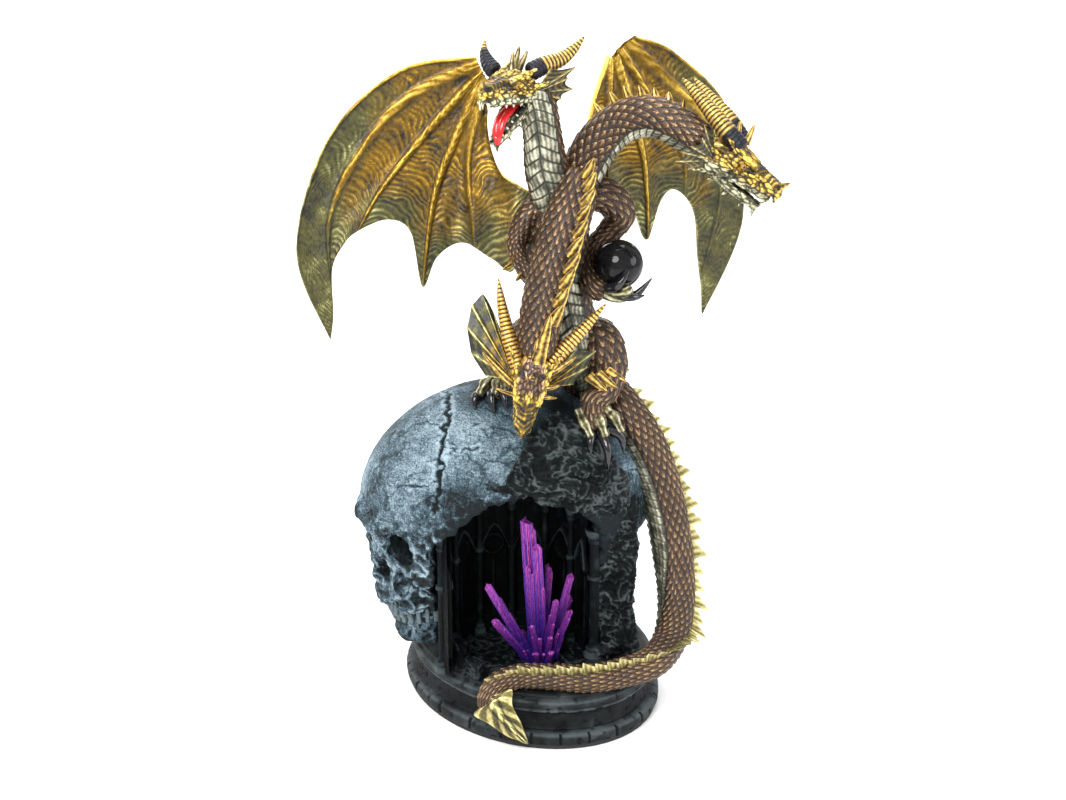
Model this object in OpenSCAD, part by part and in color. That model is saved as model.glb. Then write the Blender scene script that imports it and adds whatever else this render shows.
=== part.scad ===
// Three-headed dragon perched on a skull whose side opens into a crystal grotto.
// The skull faces -X, the grotto opens towards -Y, and the origin is the centre of the underside.

/* [Plinth] */
// Short width of the oval plinth
plinth_w = 149; // [142:1:156]
// Long width of the oval plinth
plinth_l = 188; // [184:1:196]
// Turn of the oval about the vertical axis, in degrees
plinth_turn = 12.5; // [0:0.5:16]
// Height of the plinth's floor above the table
plinth_h = 32; // [31:0.5:33]

/* [Skull] */
// Length of the skull from forehead to back
skull_l = 184; // [180:1:188]
// Breadth of the skull
skull_b = 140; // [136:1:144]
// Height of the skull's dome
skull_h = 144; // [140:1:146]

/* [Grotto] */
// Radius of the grotto's round back wall
grotto_r = 46; // [44:1:48]
// Height of the tallest crystal
crystal_h = 90; // [70:1:94]

/* [Wings] */
// Thickness of a wing's membrane
membrane_t = 2.6; // [2:0.2:4]
// Radius of the steel peg that carries a wing
peg_r = 3; // [2.5:0.5:4]
// Length of peg inside the body
peg_depth = 15; // [12:1:17]
// Gap round a peg that pulls out by hand
peg_gap = 0.1; // [0.05:0.01:0.2]

/* [Light unit] */
// Diameter of one cell
cell_d = 10.5; // [10.5:0.1:10.5]
// Length of one cell
cell_l = 44.5; // [44.5:0.1:44.5]
// Number of cells
cells = 3; // [2:1:3]
// Travel of the switch's slider
switch_travel = 4; // [3:0.5:5]
// Travel of the battery door
door_travel = 30; // [20:1:30]

/* [Hidden] */
$fn = 40;

pad_t = 2.5;                      // foam pad under everything
cover_t = 2;
cover_z = pad_t;                  // underside of the bottom cover
hollow_z = cover_z + cover_t;
slab_t = 6;                       // thickness of the plinth's top
play = 0.3;                       // gap between pieces that move past each other

skull_c = [-11, 12, 124];
skull_s = [skull_l / 2, skull_b / 2, skull_h / 2];
grotto_c = [-20, -31];            // axis of the grotto's round wall
crystal_c = [-5, -36];            // foot of the crystal cluster
cave_top = 118;                   // where the walls of the cave turn into its arch

box_c = [-6, 28];                 // middle of the battery box
box_w = cells * cell_d + 6;
box_l = cell_l + 10;
box_top = hollow_z + cell_d + 3.5;
door_w = box_w - 6;
door_l = box_l - 6;
switch_c = [34, 30];
board_z = 19;                     // underside of the board under the crystals
board_r = 20;
post_x = 17.5;                    // posts that carry the board, either side of its middle

left_axis = [-0.72, 0.33, 0.61];  // the way each wing pulls out
right_axis = [0.70, 0.30, 0.65];
left_root = [-9, 14, 288];        // where each wing's collar meets its socket
right_root = [37, 9, 318];

// ---- geometry helpers ----

function unit(v) = v / norm(v);
function xyz(q) = [q[0], q[1], q[2]];
function curve_at(p, i, t) =
  let (a = p[max(i - 1, 0)], b = p[i], c = p[i + 1], d = p[min(i + 2, len(p) - 1)])
  0.5 * (2 * b + (c - a) * t + (2 * a - 5 * b + 4 * c - d) * t * t
         + (3 * b - a - 3 * c + d) * t * t * t);
function smooth(p, k) =
  [for (i = [0:len(p) - 2]) for (j = [0:k - 1]) curve_at(p, i, j / k), p[len(p) - 1]];

// Two triangles for the quad a b c d
function quad(a, b, c, d) = [[a, b, c], [a, c, d]];

// Closed tube through stations [x, y, z, half width, half height], k steps between stations.
// side is the way the half width points at the first station.
module tube(stations, k = 3, n = 10, side = [0.31, 0.95, 0.02]) {
  s = smooth(stations, k);
  m = len(s);
  c = [for (q = s) xyz(q)];
  t = [for (i = [0:m - 1]) unit(c[min(i + 1, m - 1)] - c[max(i - 1, 0)])];
  v = [for (i = 0, w = side; i < m; i = i + 1, w = unit(w - (w * t[min(i, m - 1)]) * t[min(i, m - 1)])) w];
  points = [
    for (i = [0:m - 1]) let (
      across = unit(v[i] - (v[i] * t[i]) * t[i]),
      up = cross(t[i], across),
      tall = len(s[i]) > 4 ? s[i][4] : s[i][3]
    ) for (j = [0:n - 1])
      c[i] + s[i][3] * cos(360 * j / n) * across + tall * sin(360 * j / n) * up
  ];
  walls = [
    for (i = [0:m - 2]) for (j = [0:n - 1]) let (e = (j + 1) % n)
      each quad(i * n + j, (i + 1) * n + j, (i + 1) * n + e, i * n + e)
  ];
  start = [for (j = [0:n - 1]) j];
  end = [for (j = [n - 1:-1:0]) (m - 1) * n + j];
  polyhedron(points, [start, each walls, end]);
}

// Cone from a to b
module spike(a, b, r, tip = 0.4) {
  d = b - a;
  translate(a) rotate([0, acos(d[2] / norm(d)), atan2(d[1], d[0])])
    cylinder(h = norm(d), r1 = r, r2 = tip, $fn = 24);
}

// Rod from a to b
module rod(a, b, r) spike(a, b, r, r);

// Turns +Z towards v and moves to p
module along(p, v) translate(p) rotate([0, acos(v[2]), atan2(v[1], v[0])]) children();

module oval(inset, h) linear_extrude(h)
  scale([plinth_w / 2 - inset, plinth_l / 2 - inset]) circle(1, $fn = 72);

module turned() rotate([0, 0, plinth_turn]) children();

// Ellipsoid as the skull, grown by grow
module dome(grow, f) translate(skull_c)
  scale([skull_s[0] + grow, skull_s[1] + grow, skull_s[2] + grow]) sphere(1, $fn = f);

module lump(p, r, s = [1, 1, 1], f = 12) translate(p) scale(s) sphere(r, $fn = f);

// Wing membrane: rays fan out from the wrist, and the listed ones are thicker ridges.
// The surface is a grid along the rays, given a thickness along face.
module membrane(rays, face, ridges, k = 3) {
  n = len(rays);
  steps = k * (len(rays[0]) - 1);
  front = [
    for (i = [0:n - 1]) let (ray = smooth(rays[i], k)) for (j = [0:steps])
      [ray[j], membrane_t / 2 + (len(search(i, ridges)) > 0 ? 1.6 - j / steps : 0)]
  ];
  m = steps + 1;
  count = n * m;
  points = [for (q = front) q[0] + q[1] * face, for (q = front) q[0] - q[1] * face];
  skin = [
    for (i = [0:n - 2]) for (j = [0:steps - 1]) let (o = i * m + j)
      each quad(o, o + 1, o + 1 + m, o + m)
  ];
  back = [for (f = skin) [f[2] + count, f[1] + count, f[0] + count]];
  rim = [
    for (j = [0:steps - 1]) each quad(j + 1, j, j + count, j + 1 + count),
    for (j = [0:steps - 1]) let (o = (n - 1) * m + j) each quad(o, o + 1, o + 1 + count, o + count),
    for (i = [0:n - 2]) each quad(i * m, (i + 1) * m, (i + 1) * m + count, i * m + count),
    for (i = [0:n - 2]) let (o = i * m + steps) each quad(o + m, o, o + count, o + m + count)
  ];
  polyhedron(points, [each skin, each back, each rim]);
}

// ---- plinth and what it holds ----

module plinth() color("#33383a") {
  turned() difference() {
    union() {
      translate([0, 0, pad_t]) oval(0, 8 - pad_t);
      oval_step(8, 1.6, 1.5);
      oval_step(9.5, 7, 12);
      oval_step(21.5, 4, 6);
      oval_step(27.5, 6.5, plinth_h - 27.5);
    }
    translate([0, 0, pad_t - 1]) oval(5, cover_t + 1);
    translate([0, 0, hollow_z - 0.1]) oval(13, plinth_h - slab_t - hollow_z);
    rotate([0, 0, -plinth_turn]) translate([crystal_c[0], crystal_c[1], 0]) cylinder(h = 60, r = 15);
    for (a = [45, 135, 225, 315]) screw_at(a) cylinder(h = 12, r = 1.1, $fn = 24);
    for (a = [0:15:345]) block_joint(a);
  }
  for (x = [-1, 1]) translate([crystal_c[0] + x * post_x, crystal_c[1], board_z + 1.6])
    cylinder(h = 6, r = 2, $fn = 24);
}

// Thin upright groove between two blocks of the bottom tier
module block_joint(a) translate([plinth_w / 2 * cos(a), plinth_l / 2 * sin(a), 5.4]) rotate([0, 0, a])
  cube([1.6, 0.8, 7], center = true);

// One step of the plinth from height z, drawn in by inset
module oval_step(z, inset, h) translate([0, 0, z - 0.01]) oval(inset, h + 0.01);

// Places a child at a cover screw
module screw_at(a) translate([
  (plinth_w / 2 - 9) * cos(a), (plinth_l / 2 - 9) * sin(a), cover_z]) children();

module bottom_cover() color("#202224") difference() {
  union() {
    turned() translate([0, 0, cover_z]) oval(5 + play / 2, cover_t);
    for (side = [-1, 1]) door_rail(side);
  }
  turned() for (a = [45, 135, 225, 315]) screw_at(a) {
    translate([0, 0, -1]) cylinder(h = 9, r = 1.6, $fn = 24);
    translate([0, 0, -1]) cylinder(h = 2.2, r = 3, $fn = 24);
  }
  translate([box_c[0], box_c[1], cover_z + 1]) cube([box_w - 8, box_l - 8, 6], center = true);
  translate([switch_c[0], switch_c[1], cover_z]) cube([4 + switch_travel, 4, 8], center = true);
}

// Rail with a lip that carries one edge of the battery door
module door_rail(side) {
  x = box_c[0] + side * (door_w / 2 + play + 1);
  rail_l = door_l + 4;
  translate([x - 1, box_c[1] - rail_l / 2, 0.5]) cube([2, rail_l, cover_z - 0.5 + 0.1]);
  translate([x - side * 1.2 - 1, box_c[1] - rail_l / 2, 0.5]) cube([2, rail_l, 0.6]);
}

module cover_screws() color("silver") turned() for (a = [45, 135, 225, 315]) screw_at(a) {
  translate([0, 0, 0.2]) difference() {
    cylinder(h = 1, r = 2.7, $fn = 24);
    cube([0.7, 4, 0.8], center = true);
  }
  translate([0, 0, 1.1]) cylinder(h = 8, r = 1.1, $fn = 24);
}

module foam_pad() color("#15171a") difference() {
  turned() linear_extrude(pad_t)
    polygon([for (a = [0:4:356]) [(plinth_w / 2 - 1.5) * cos(a), (plinth_l / 2 - 1.5) * sin(a)]]);
  translate([box_c[0] - door_w / 2 - 3.5, box_c[1] - door_l / 2 - 3, -1])
    cube([door_w + 7, door_l + door_travel + 4.5, pad_t + 2]);
  translate([switch_c[0], switch_c[1], 0]) cube([14, 9, 8], center = true);
  turned() for (a = [45, 135, 225, 315]) screw_at(a) translate([0, 0, -5]) cylinder(h = 9, r = 3.5, $fn = 24);
}

module battery_box() color("#26282b") translate([box_c[0], box_c[1], hollow_z]) difference() {
  translate([-box_w / 2, -box_l / 2, 0]) cube([box_w, box_l, box_top - hollow_z]);
  translate([-box_w / 2 + 2, -box_l / 2 + 2, -1]) cube([box_w - 4, box_l - 4, cell_d + 2.5]);
}

module battery_door() color("#2b2d30") translate([box_c[0], box_c[1], 0]) difference() {
  union() {
    translate([-door_w / 2, -door_l / 2, 1.4]) cube([door_w, door_l, 0.8]);
    translate([-door_w / 2 + 2.2, -door_l / 2, 0.7]) cube([door_w - 4.4, door_l, 0.8]);
  }
  for (i = [0:3]) translate([0, -door_l / 2 + 5 + 2 * i, 0.7]) cube([12, 0.8, 0.6], center = true);
}

// Runs once for each cell
module at_cells() for (i = [0:cells - 1])
  translate([box_c[0] + (i - (cells - 1) / 2) * (cell_d + 0.6), box_c[1], hollow_z + 0.9 + cell_d / 2])
    rotate([0, 0, i % 2 * 180]) children();

module batteries() color("#8d6b2f") at_cells() rotate([90, 0, 0]) translate([0, 0, -cell_l / 2]) {
  cylinder(h = cell_l - 1, r = cell_d / 2);
  translate([0, 0, cell_l - 1.1]) cylinder(h = 1.1, r = 1.9, $fn = 24);
}

module battery_contacts() color("silver") at_cells() {
  translate([0, -cell_l / 2 - 0.6, 0]) cube([7, 0.6, 8], center = true);
  translate([0, cell_l / 2 + 2.2, 0]) cube([7, 0.6, 8], center = true);
  for (j = [0:2]) translate([0, cell_l / 2 + 0.6 + 0.5 * j, 0]) rotate([90, 0, 0])
    rotate_extrude($fn = 32) translate([3 - 0.5 * j, 0]) circle(0.3, $fn = 16);
}

module switch_body() color("#1c1d20") translate([switch_c[0], switch_c[1], hollow_z]) difference() {
  translate([-8, -5, 0]) cube([16, 10, 7]);
  translate([-3 - switch_travel / 2, -3.3, -1]) cube([6 + switch_travel, 6.6, 4]);
}

module switch_slider() color("#b0b4b8") translate([switch_c[0] - switch_travel / 2, switch_c[1], 0]) {
  translate([-2.4, -3, hollow_z + 0.4]) cube([4.8, 6, 2]);
  translate([-1.5, -1.5, 1]) cube([3, 3, hollow_z]);
}

module led_board() color("#2c5b3c") translate([crystal_c[0], crystal_c[1], board_z]) difference() {
  cylinder(h = 1.6, r = board_r);
  for (x = [-1, 1]) translate([x * post_x, 0, -1]) cylinder(h = 4, r = 1, $fn = 24);
}

module leds() color("#dfe6ee") for (a = [30, 150, 270])
  translate([crystal_c[0] + 6 * cos(a), crystal_c[1] + 6 * sin(a), board_z + 1.6]) {
    cylinder(h = 1, r = 2.9, $fn = 24);
    translate([0, 0, 0.9]) cylinder(h = 3.5, r = 2.5, $fn = 24);
    translate([0, 0, 4.4]) intersection() {
      sphere(2.5, $fn = 24);
      cylinder(h = 4, r = 4, $fn = 24);
    }
  }

module light_window() color("#d7c8e6")
  translate([crystal_c[0], crystal_c[1], plinth_h - 3]) cylinder(h = 3.4, r = 14.8);

module lead_wires() color("#a02020") {
  tube([[34, 26, 9, 0.8], [30, 4, 10, 0.8], [14, -12, 12, 0.8], [2, -24, 15, 0.8], [-1, -30, 18.6, 0.8]], 3, 8);
  tube([[16, 40, 9, 0.8], [22, 38, 9, 0.8], [26, 32, 8.6, 0.8]], 3, 8);
  tube([[-27, 20, 9, 0.8], [-31, 0, 10, 0.8], [-24, -18, 12, 0.8], [-12, -30, 18.6, 0.8]], 3, 8);
}

// ---- skull ----

// The cave as a solid: an arched passage from the front to a round back wall
module cave(grow) {
  r = grotto_r + grow;
  hull() {
    translate([grotto_c[0], grotto_c[1], 20]) cylinder(h = cave_top - 20, r = r, $fn = 32);
    translate([grotto_c[0], grotto_c[1], cave_top - 4]) scale([1, 1, 0.72]) sphere(r, $fn = 32);
  }
  hull() for (y = [-30, -90]) for (x = [-1, 1]) {
    translate([grotto_c[0] + x * (r - 14), y, cave_top + 8]) sphere(14, $fn = 16);
    translate([grotto_c[0] + x * (r - 14), y, 20]) cylinder(h = 10, r = 14, $fn = 16);
  }
}

// The face is narrow and looks a little towards the cave's side
module faced() translate([-93, -3, 0]) rotate([0, 0, 27]) scale([1, 0.75, 1]) translate([93, -9, 0]) children();

module skull() color("#8fa3ad") difference() {
  union() {
    difference() {
      dome(0, 36);
      translate([-200, -200, -50]) cube([400, 400, 108]);
      translate([44, -200, 0]) cube([200, 400, 102]);
    }
    // brow ridge, nose root and cheeks of both sides
    for (m = [-1, 1]) faced() {
      hull() {
        lump([-92, 8 + 8 * m, 121], 8);
        lump([-80, 10 + 40 * m, 118], 8);
      }
      hull() {
        lump([-82, 10 + 41 * m, 114], 6);
        lump([-76, 10 + 40 * m, 92], 7);
      }
      hull() {
        lump([-86, 9 + 16 * m, 92], 7);
        lump([-76, 10 + 38 * m, 90], 7);
      }
      hull() {
        lump([-87, 9 + 9 * m, 90], 7);
        lump([-83, 9 + 11 * m, 68], 7);
        lump([-68, 9 + 26 * m, 66], 7);
      }
      hull() {
        lump([-74, 10 + 43 * m, 94], 5);
        lump([-46, 10 + 60 * m, 98], 4);
      }
    }
    faced() hull() {
      lump([-90, 8, 118], 7);
      lump([-93, 8, 100], 4);
    }
    faced() hull() {
      lump([-85, 9, 69], 7);
      lump([-82, 9, 84], 8);
      lump([-66, 9, 74], 16);
    }
  }
  cave(4);
  for (m = [-1, 1]) faced() {
    lump([-88, 9 + 24 * m, 107], 11, [1.3, 1, 0.85], 16);
    lump([-62, 10 + 66 * m, 104], 14, [1.4, 1, 1.1], 16);
    lump([-62, 9 + 44 * m, 66], 16, [1.1, 1, 1], 16);
  }
  faced() hull() {
    lump([-95, 9, 98], 3);
    lump([-95, 9, 88], 5);
  }
}

module lower_jaw() color("#869aa4") difference() {
  faced() {
    hull() {
      lump([-73, 2, 44], 7);
      lump([-73, 16, 44], 7);
      lump([-71, 9, 56], 9);
    }
    for (m = [-1, 1]) {
      hull() {
        lump([-71, 9 + 12 * m, 45], 7);
        lump([-52, 10 + 40 * m, 50], 6);
      }
      hull() {
        lump([-52, 10 + 41 * m, 50], 6);
        lump([-44, 10 + 46 * m, 84], 4);
      }
      hull() {
        lump([-76, 9 + 8 * m, 54], 5);
        lump([-62, 9 + 24 * m, 58], 5);
      }
    }
    hull() {
      lump([-77, 9, 42], 5);
      lump([-72, 9, 39], 5);
    }
  }
  cave(4.5);
}

module skull_teeth() color("#a9b4ae") faced() for (i = [-5:5]) {
  a = 14 * i;
  translate([-61 - 24 * cos(a), 9 + 24 * sin(a), 56]) rotate([0, 0, -a])
    translate([-1.9, -2.2, 0]) cube([3.8, 4.4, 9]);
}

module rock_brim() color("#3c4343") {
  // sheet of rock from the cave's edge up to the dragon's feet
  difference() {
    intersection() {
      dome(4, 30);
      hull() for (q = [[-24, -50, 156], [-8, -46, 172], [22, -42, 171], [42, -42, 152], [48, -38, 134], [16, -60, 134],
                       [-10, -60, 146]]) lump(q, 7);
    }
    cave(1);
  }
  tube([[-34, -50, 152, 2.5, 2], [-12, -57, 152, 5, 4], [8, -58, 148, 7, 7], [22, -53, 142, 8, 9], [36, -46, 134, 6, 8]], 3, 8);
  for (q = [[24, -50, 152, 8], [38, -43, 146, 8], [32, -47, 136, 7], [48, -34, 140, 7]]) {
    translate([q[0], q[1], q[2]]) sphere(q[3], $fn = 20);
  }
}

module rock_pillar() color("#3f4646") tube([
  [44, -30, plinth_h - 0.5, 14, 15], [43, -31, 46, 12, 13], [42, -33, 66, 9, 10],
  [42, -34, 88, 10, 11], [43, -33, 108, 12, 13], [46, -30, 126, 14, 14],
], 3, 12);

// Solid rock under the back of the skull
module rear_rock() color("#3c4343") difference() {
  intersection() {
    translate([0, 14, plinth_h - 0.5]) cylinder(h = 71, r1 = 58, r2 = 52, $fn = 48);
    turned() oval(8, 200);
  }
  translate([grotto_c[0], grotto_c[1], 0]) cylinder(h = 200, r = grotto_r + 4);
  translate([-200, -200, 0]) cube([141, 400, 200]);
  translate([-200, -200, 0]) cube([400, 176, 200]);
}

module grotto_wall() color("#2c3232") difference() {
  translate([grotto_c[0], grotto_c[1], plinth_h - 0.5]) cylinder(h = cave_top - plinth_h + 10, r = grotto_r);
  translate([grotto_c[0], grotto_c[1], 0]) cylinder(h = 200, r = grotto_r - 3);
  translate([-100, -120, 0]) cube([200, 120 + grotto_c[1] + 8, 200]);
  for (i = [-2:2]) translate([grotto_c[0], grotto_c[1], 0]) rotate([0, 0, 30 * i]) {
    translate([-5, grotto_r - 4.8, 44]) cube([10, 3, 60]);
    translate([0, grotto_r - 4.8, 104]) rotate([-90, 0, 0]) cylinder(h = 3, r = 5, $fn = 24);
  }
}

module grotto_columns() color("#4a5250") {
  for (i = [-2.5:2.5]) translate([grotto_c[0], grotto_c[1], plinth_h - 0.5]) rotate([0, 0, 30 * i])
    translate([0, grotto_r - 5.5, 0]) column(cave_top - plinth_h + 6, 1.9);
  translate([-66, -34, plinth_h - 0.5]) column(88, 3.4);
  translate([27, -42, plinth_h - 0.5]) column(84, 3.4);
}

// Slim column with a stepped base, a ring and a spreading head
module column(h, r) rotate_extrude($fn = 24) polygon([
  [0, 0], [1.7 * r, 0], [1.7 * r, 0.05 * h], [1.35 * r, 0.09 * h], [r, 0.12 * h],
  [r, 0.62 * h], [1.4 * r, 0.63 * h], [1.4 * r, 0.66 * h], [r, 0.67 * h],
  [r, 0.9 * h], [1.7 * r, 0.97 * h], [1.7 * r, h], [0, h],
]);

module grotto_floor() color("#353b3b") difference() {
  union() {
    for (q = [[-62, -34, 34, 15], [-56, -24, 34, 13], [-52, -44, 33, 10]])
      intersection() {
        translate([q[0], q[1], q[2]]) scale([0.8, 0.8, 1.1]) sphere(q[3], $fn = 16);
        translate([-100, -100, plinth_h - 0.2]) cube([200, 200, 60]);
        turned() oval(6, 80);
      }
  translate([0, 0, plinth_h - 0.2]) intersection() {
    translate([grotto_c[0], grotto_c[1], 0]) cylinder(h = 1.6, r = grotto_r - 3.5);
    turned() oval(8, 10);
  }
  }
  translate([crystal_c[0], crystal_c[1], 0]) cylinder(h = 60, r = 15.2);
}

module grotto_stairs() color("#454c4b") for (side = [-1, 1])
  translate([grotto_c[0] + 27 * side, grotto_c[1] + 13, plinth_h + 1.2]) rotate([0, 0, -38 * side])
    for (i = [0:4]) translate([-6, 2.4 * i, 0]) cube([12, 12 - 2.4 * i, 1.8 * (i + 1)]);

// One faceted bar: foot and top are points, s is its across-flats size
module bar(foot, top, s) along(foot, unit(top - foot)) {
  h = norm(top - foot);
  cylinder(h = h, r = s / 2, $fn = 6);
  rotate([0, 0, 24]) translate([s * 0.3, 0, 0]) cylinder(h = h * 0.9, r = s * 0.36, $fn = 6);
}

module crystals() color("#8a3f9e") {
  base = [crystal_c[0], crystal_c[1], plinth_h + 0.4];
  translate(base) cylinder(h = 2.4, r = 12.5);
  for (q = [
    [-2, 3, -7, 7, 1.00, 7.6], [1, 0, -3, -1, 0.84, 6.4], [-6, -1, -34, 0, 0.60, 5.4],
    [-7, -3, -32, -8, 0.38, 5.2], [5, 0, 20, 2, 0.58, 5.2], [4, -4, 17, -6, 0.36, 4.6],
    [2, 5, 9, 12, 0.62, 4.8], [1, -5, 7, -8, 0.46, 4.4], [-2, -6, -10, -12, 0.32, 4.2],
    [6, 4, 24, 12, 0.36, 4.2], [-5, 4, -22, 16, 0.40, 4.4],
  ]) bar(base + [q[0], q[1], 1], base + [q[2], q[3], crystal_h * q[4]], q[5]);
}

// ---- dragon ----

module torso() color("#6b4a33") difference() {
  tube([
    [36, 4, 184, 9, 9], [33, 1, 203, 15, 17], [24, -2, 226, 17, 19], [18, -2, 250, 17, 19],
    [15, -2, 276, 18, 21], [15, -4, 300, 18, 22], [18, -8, 318, 13, 15], [20, -12, 328, 6, 7],
  ], 3, 16);
  socket_hole(left_root, left_axis);
  socket_hole(right_root, right_axis);
}

module socket_hole(root, axis) along(root, axis)
  translate([0, 0, -peg_depth - 3]) cylinder(h = peg_depth + 30, r = 6);

// Sleeve that receives a wing's peg
module wing_sockets() color("#5a4a3a") for (q = [[left_root, left_axis], [right_root, right_axis]])
  along(q[0], q[1]) difference() {
    translate([0, 0, -peg_depth - 3]) cylinder(h = peg_depth + 3, r = 6);
    translate([0, 0, -peg_depth - 1]) cylinder(h = peg_depth + 5, r = peg_r + peg_gap);
  }

module left_leg() color("#6b4a33") tube([
  [10, -3, 232, 8, 10], [-2, -6, 228, 11, 13], [-14, -5, 219, 9, 10], [-17, -1, 209, 6, 6],
  [-17, 1, 202, 5, 5], [-21, -3, 198, 6, 5], [-27, -8, 196, 4, 3.5],
], 3, 10);

module right_leg() color("#6b4a33") tube([
  [33, -2, 230, 9, 11], [39, -10, 222, 13, 15], [42, -19, 210, 11, 12], [38, -27, 197, 7, 7],
  [29, -31, 192, 6, 6], [28, -33, 184, 6, 6], [30, -38, 176, 5, 5],
], 3, 10);

module foot_claws() color("#15161c") {
  for (q = [[-26, -7, 197, -29, -20, 189], [-22, -9, 197, -22, -21, 191], [-30, -3, 195, -38, -12, 188],
            [27, -36, 176, 22, -45, 164], [31, -39, 175, 32, -48, 155], [35, -36, 176, 44, -40, 162]])
    spike([q[0], q[1], q[2]], [q[3], q[4], q[5]], 2.6);
}

module left_arm() color("#8a7434") tube([
  [4, -8, 306, 8, 8], [-4, -8, 298, 7, 8], [-11, -9, 286, 5, 5], [-12, -17, 277, 4, 4], [-9, -26, 270, 5, 3.5], [-5, -30, 264, 3, 2],
], 3, 10);

module right_arm() color("#6b4a33") tube([
  [30, -10, 312, 9, 9], [42, -12, 310, 9, 9], [52, -10, 299, 8, 8], [47, -5, 287, 6, 6],
  [36, -5, 277, 5, 5], [30, -12, 268, 5.5, 5], [31, -22, 260, 6, 4.5], [38, -27, 256, 6, 3],
], 3, 10);

module hand_claws() color("#121319") {
  for (q = [[42, -27, 257, 48, -33, 255, 58, -31, 253], [46, -22, 255, 56, -24, 254, 64, -27, 262],
            [38, -28, 260, 40, -36, 264, 46, -38, 270], [44, -10, 258, 54, -8, 258, 62, -12, 266]])
    tube([[q[0], q[1], q[2], 2.6], [q[3], q[4], q[5], 2.2], [q[6], q[7], q[8], 0.5]], 3, 8);
  for (q = [[-12, -10, 275, -18, -13, 273], [-8, -29, 268, -12, -34, 260], [-4, -31, 264, -5, -36, 256]])
    spike([q[0], q[1], q[2]], [q[3], q[4], q[5]], 1.8);
}

module orb() color("#0b0c14") translate([47.5, -20, 271]) sphere(14.5, $fn = 64);

module left_neck() color("#6b5a3a") tube([
  [13, -10, 304, 14, 12], [9, -15, 316, 13, 11], [4, -17, 330, 11.5, 10], [2, -17, 346, 10, 9.5],
  [1, -13, 360, 9.5, 9], [-1, -8, 372, 8, 8],
], 3, 12);

module centre_neck() color("#6b4a33") tube([
  [19, -14, 310, 10, 10], [20, -24, 318, 11, 11], [12, -33, 304, 12, 12], [3, -36, 282, 11.5, 12],
  [-4, -37, 257, 11, 12], [-8, -39, 238, 10.5, 11], [-11, -41, 224, 9, 9],
], 3, 12);

module right_neck() color("#6b4a33") tube([
  [22, -10, 312, 11, 11], [27, -14, 326, 11.5, 11.5], [35, -18, 342, 11.5, 11.5], [47, -25, 354, 11, 11],
  [60, -36, 358, 10.5, 10.5], [73, -47, 352, 10, 10], [84, -57, 343, 9, 9],
], 3, 12);

module neck_spines() color("#b8923a") {
  for (q = [[21, -31, 322, 25, -37, 334], [17, -40, 311, 22, -47, 322], [12, -44, 297, 17, -52, 308],
            [7, -46, 281, 11, -54, 292], [2, -47, 264, 6, -55, 275], [-3, -48, 248, 1, -56, 258]])
    spike([q[0], q[1], q[2]], [q[3], q[4], q[5]], 3.4, 0.6);
  for (q = [[44, -22, 364, 40, -21, 371], [56, -31, 368, 53, -30, 375], [68, -41, 365, 66, -40, 371]])
    spike([q[0], q[1], q[2]], [q[3], q[4], q[5]], 2.6, 0.6);
}

module left_head() color("#b3903c") tube([
  [-1, -5, 373, 8, 9], [-8, -9, 377, 13, 10], [-15, -14, 377, 13, 10], [-24, -19, 375, 9.5, 10],
  [-33, -25, 373, 7, 10], [-41, -31, 371, 5.5, 9], [-45, -34, 369, 3, 5],
], 3, 12, [-0.55, 0.83, 0]);

module left_head_jaw() color("#b3903c") tube([
  [-5, -11, 366, 7, 6], [-13, -17, 357, 6.5, 4.5], [-21, -24, 347, 5, 3.5], [-28, -29, 339, 2.5, 2],
], 3, 10, [-0.55, 0.83, 0]);

module left_head_tongue() color("#b3161c") tube([
  [-14, -17, 364, 3.5, 2], [-23, -23, 360, 4, 2], [-31, -29, 355, 3.6, 1.8], [-38, -33, 350, 1.6, 1],
], 3, 8, [-0.55, 0.83, 0]);

module left_head_teeth() color("#e9e6dc") {
  for (q = [[-33, -30, 365, -34, -31, 359], [-38, -33, 363, -39, -34, 356], [-27, -27, 366, -28, -28, 361],
            [-40, -27, 363, -41, -28, 357], [-24, -28, 348, -25, -29, 353], [-27, -26, 345, -28, -27, 350]])
    spike([q[0], q[1], q[2]], [q[3], q[4], q[5]], 1.2, 0.2);
}

module left_head_horns() color("#8a7434") {
  tube([[-5, -11, 382, 4.8], [5, -9, 385, 4.6], [16, -7, 388, 3.8], [25, -5, 394, 2.4], [31, -4, 400, 0.6]], 3, 10);
  tube([[-22, -4, 382, 4.8], [-25, 0, 386, 4.0], [-25, 6, 392, 2.4], [-23, 11, 398, 0.6]], 3, 10);
  spike([-12, -8, 385], [-7, -3, 396], 3);
}

module left_head_frills() color("#9a9a6a") {
  tube([[-5, -15, 371, 1.5, 6], [8, -13, 373, 1.2, 7], [16, -11, 377, 1, 4], [23, -10, 380, 0.6, 1]], 3, 8, [0, 1, 0]);
  tube([[-32, -14, 381, 1.5, 4], [-38, -14, 384, 1.2, 4], [-43, -13, 387, 0.8, 1]], 3, 8, [0, 1, 0]);
}

module centre_head() color("#b3903c") tube([
  [-10, -41, 230, 8, 7], [-12, -43, 222, 12, 8], [-15, -44, 213, 13, 8], [-18, -46, 204, 9, 7],
  [-20, -47, 195, 7, 6], [-22, -48, 185, 6, 5.5], [-23, -48, 179, 3.5, 3.5],
], 3, 12, [0.95, -0.31, 0]);

module centre_head_horns() color("#a9823a") {
  tube([[-21, -40, 222, 4], [-24, -34, 240, 3.8], [-26, -28, 256, 2.6], [-27, -25, 269, 0.6]], 3, 10);
  tube([[-4, -44, 221, 4], [9, -43, 232, 3.8], [22, -42, 244, 2.6], [32, -42, 254, 0.6]], 3, 10);
  spike([-12, -47, 222], [-9, -48, 245], 3);
}

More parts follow.
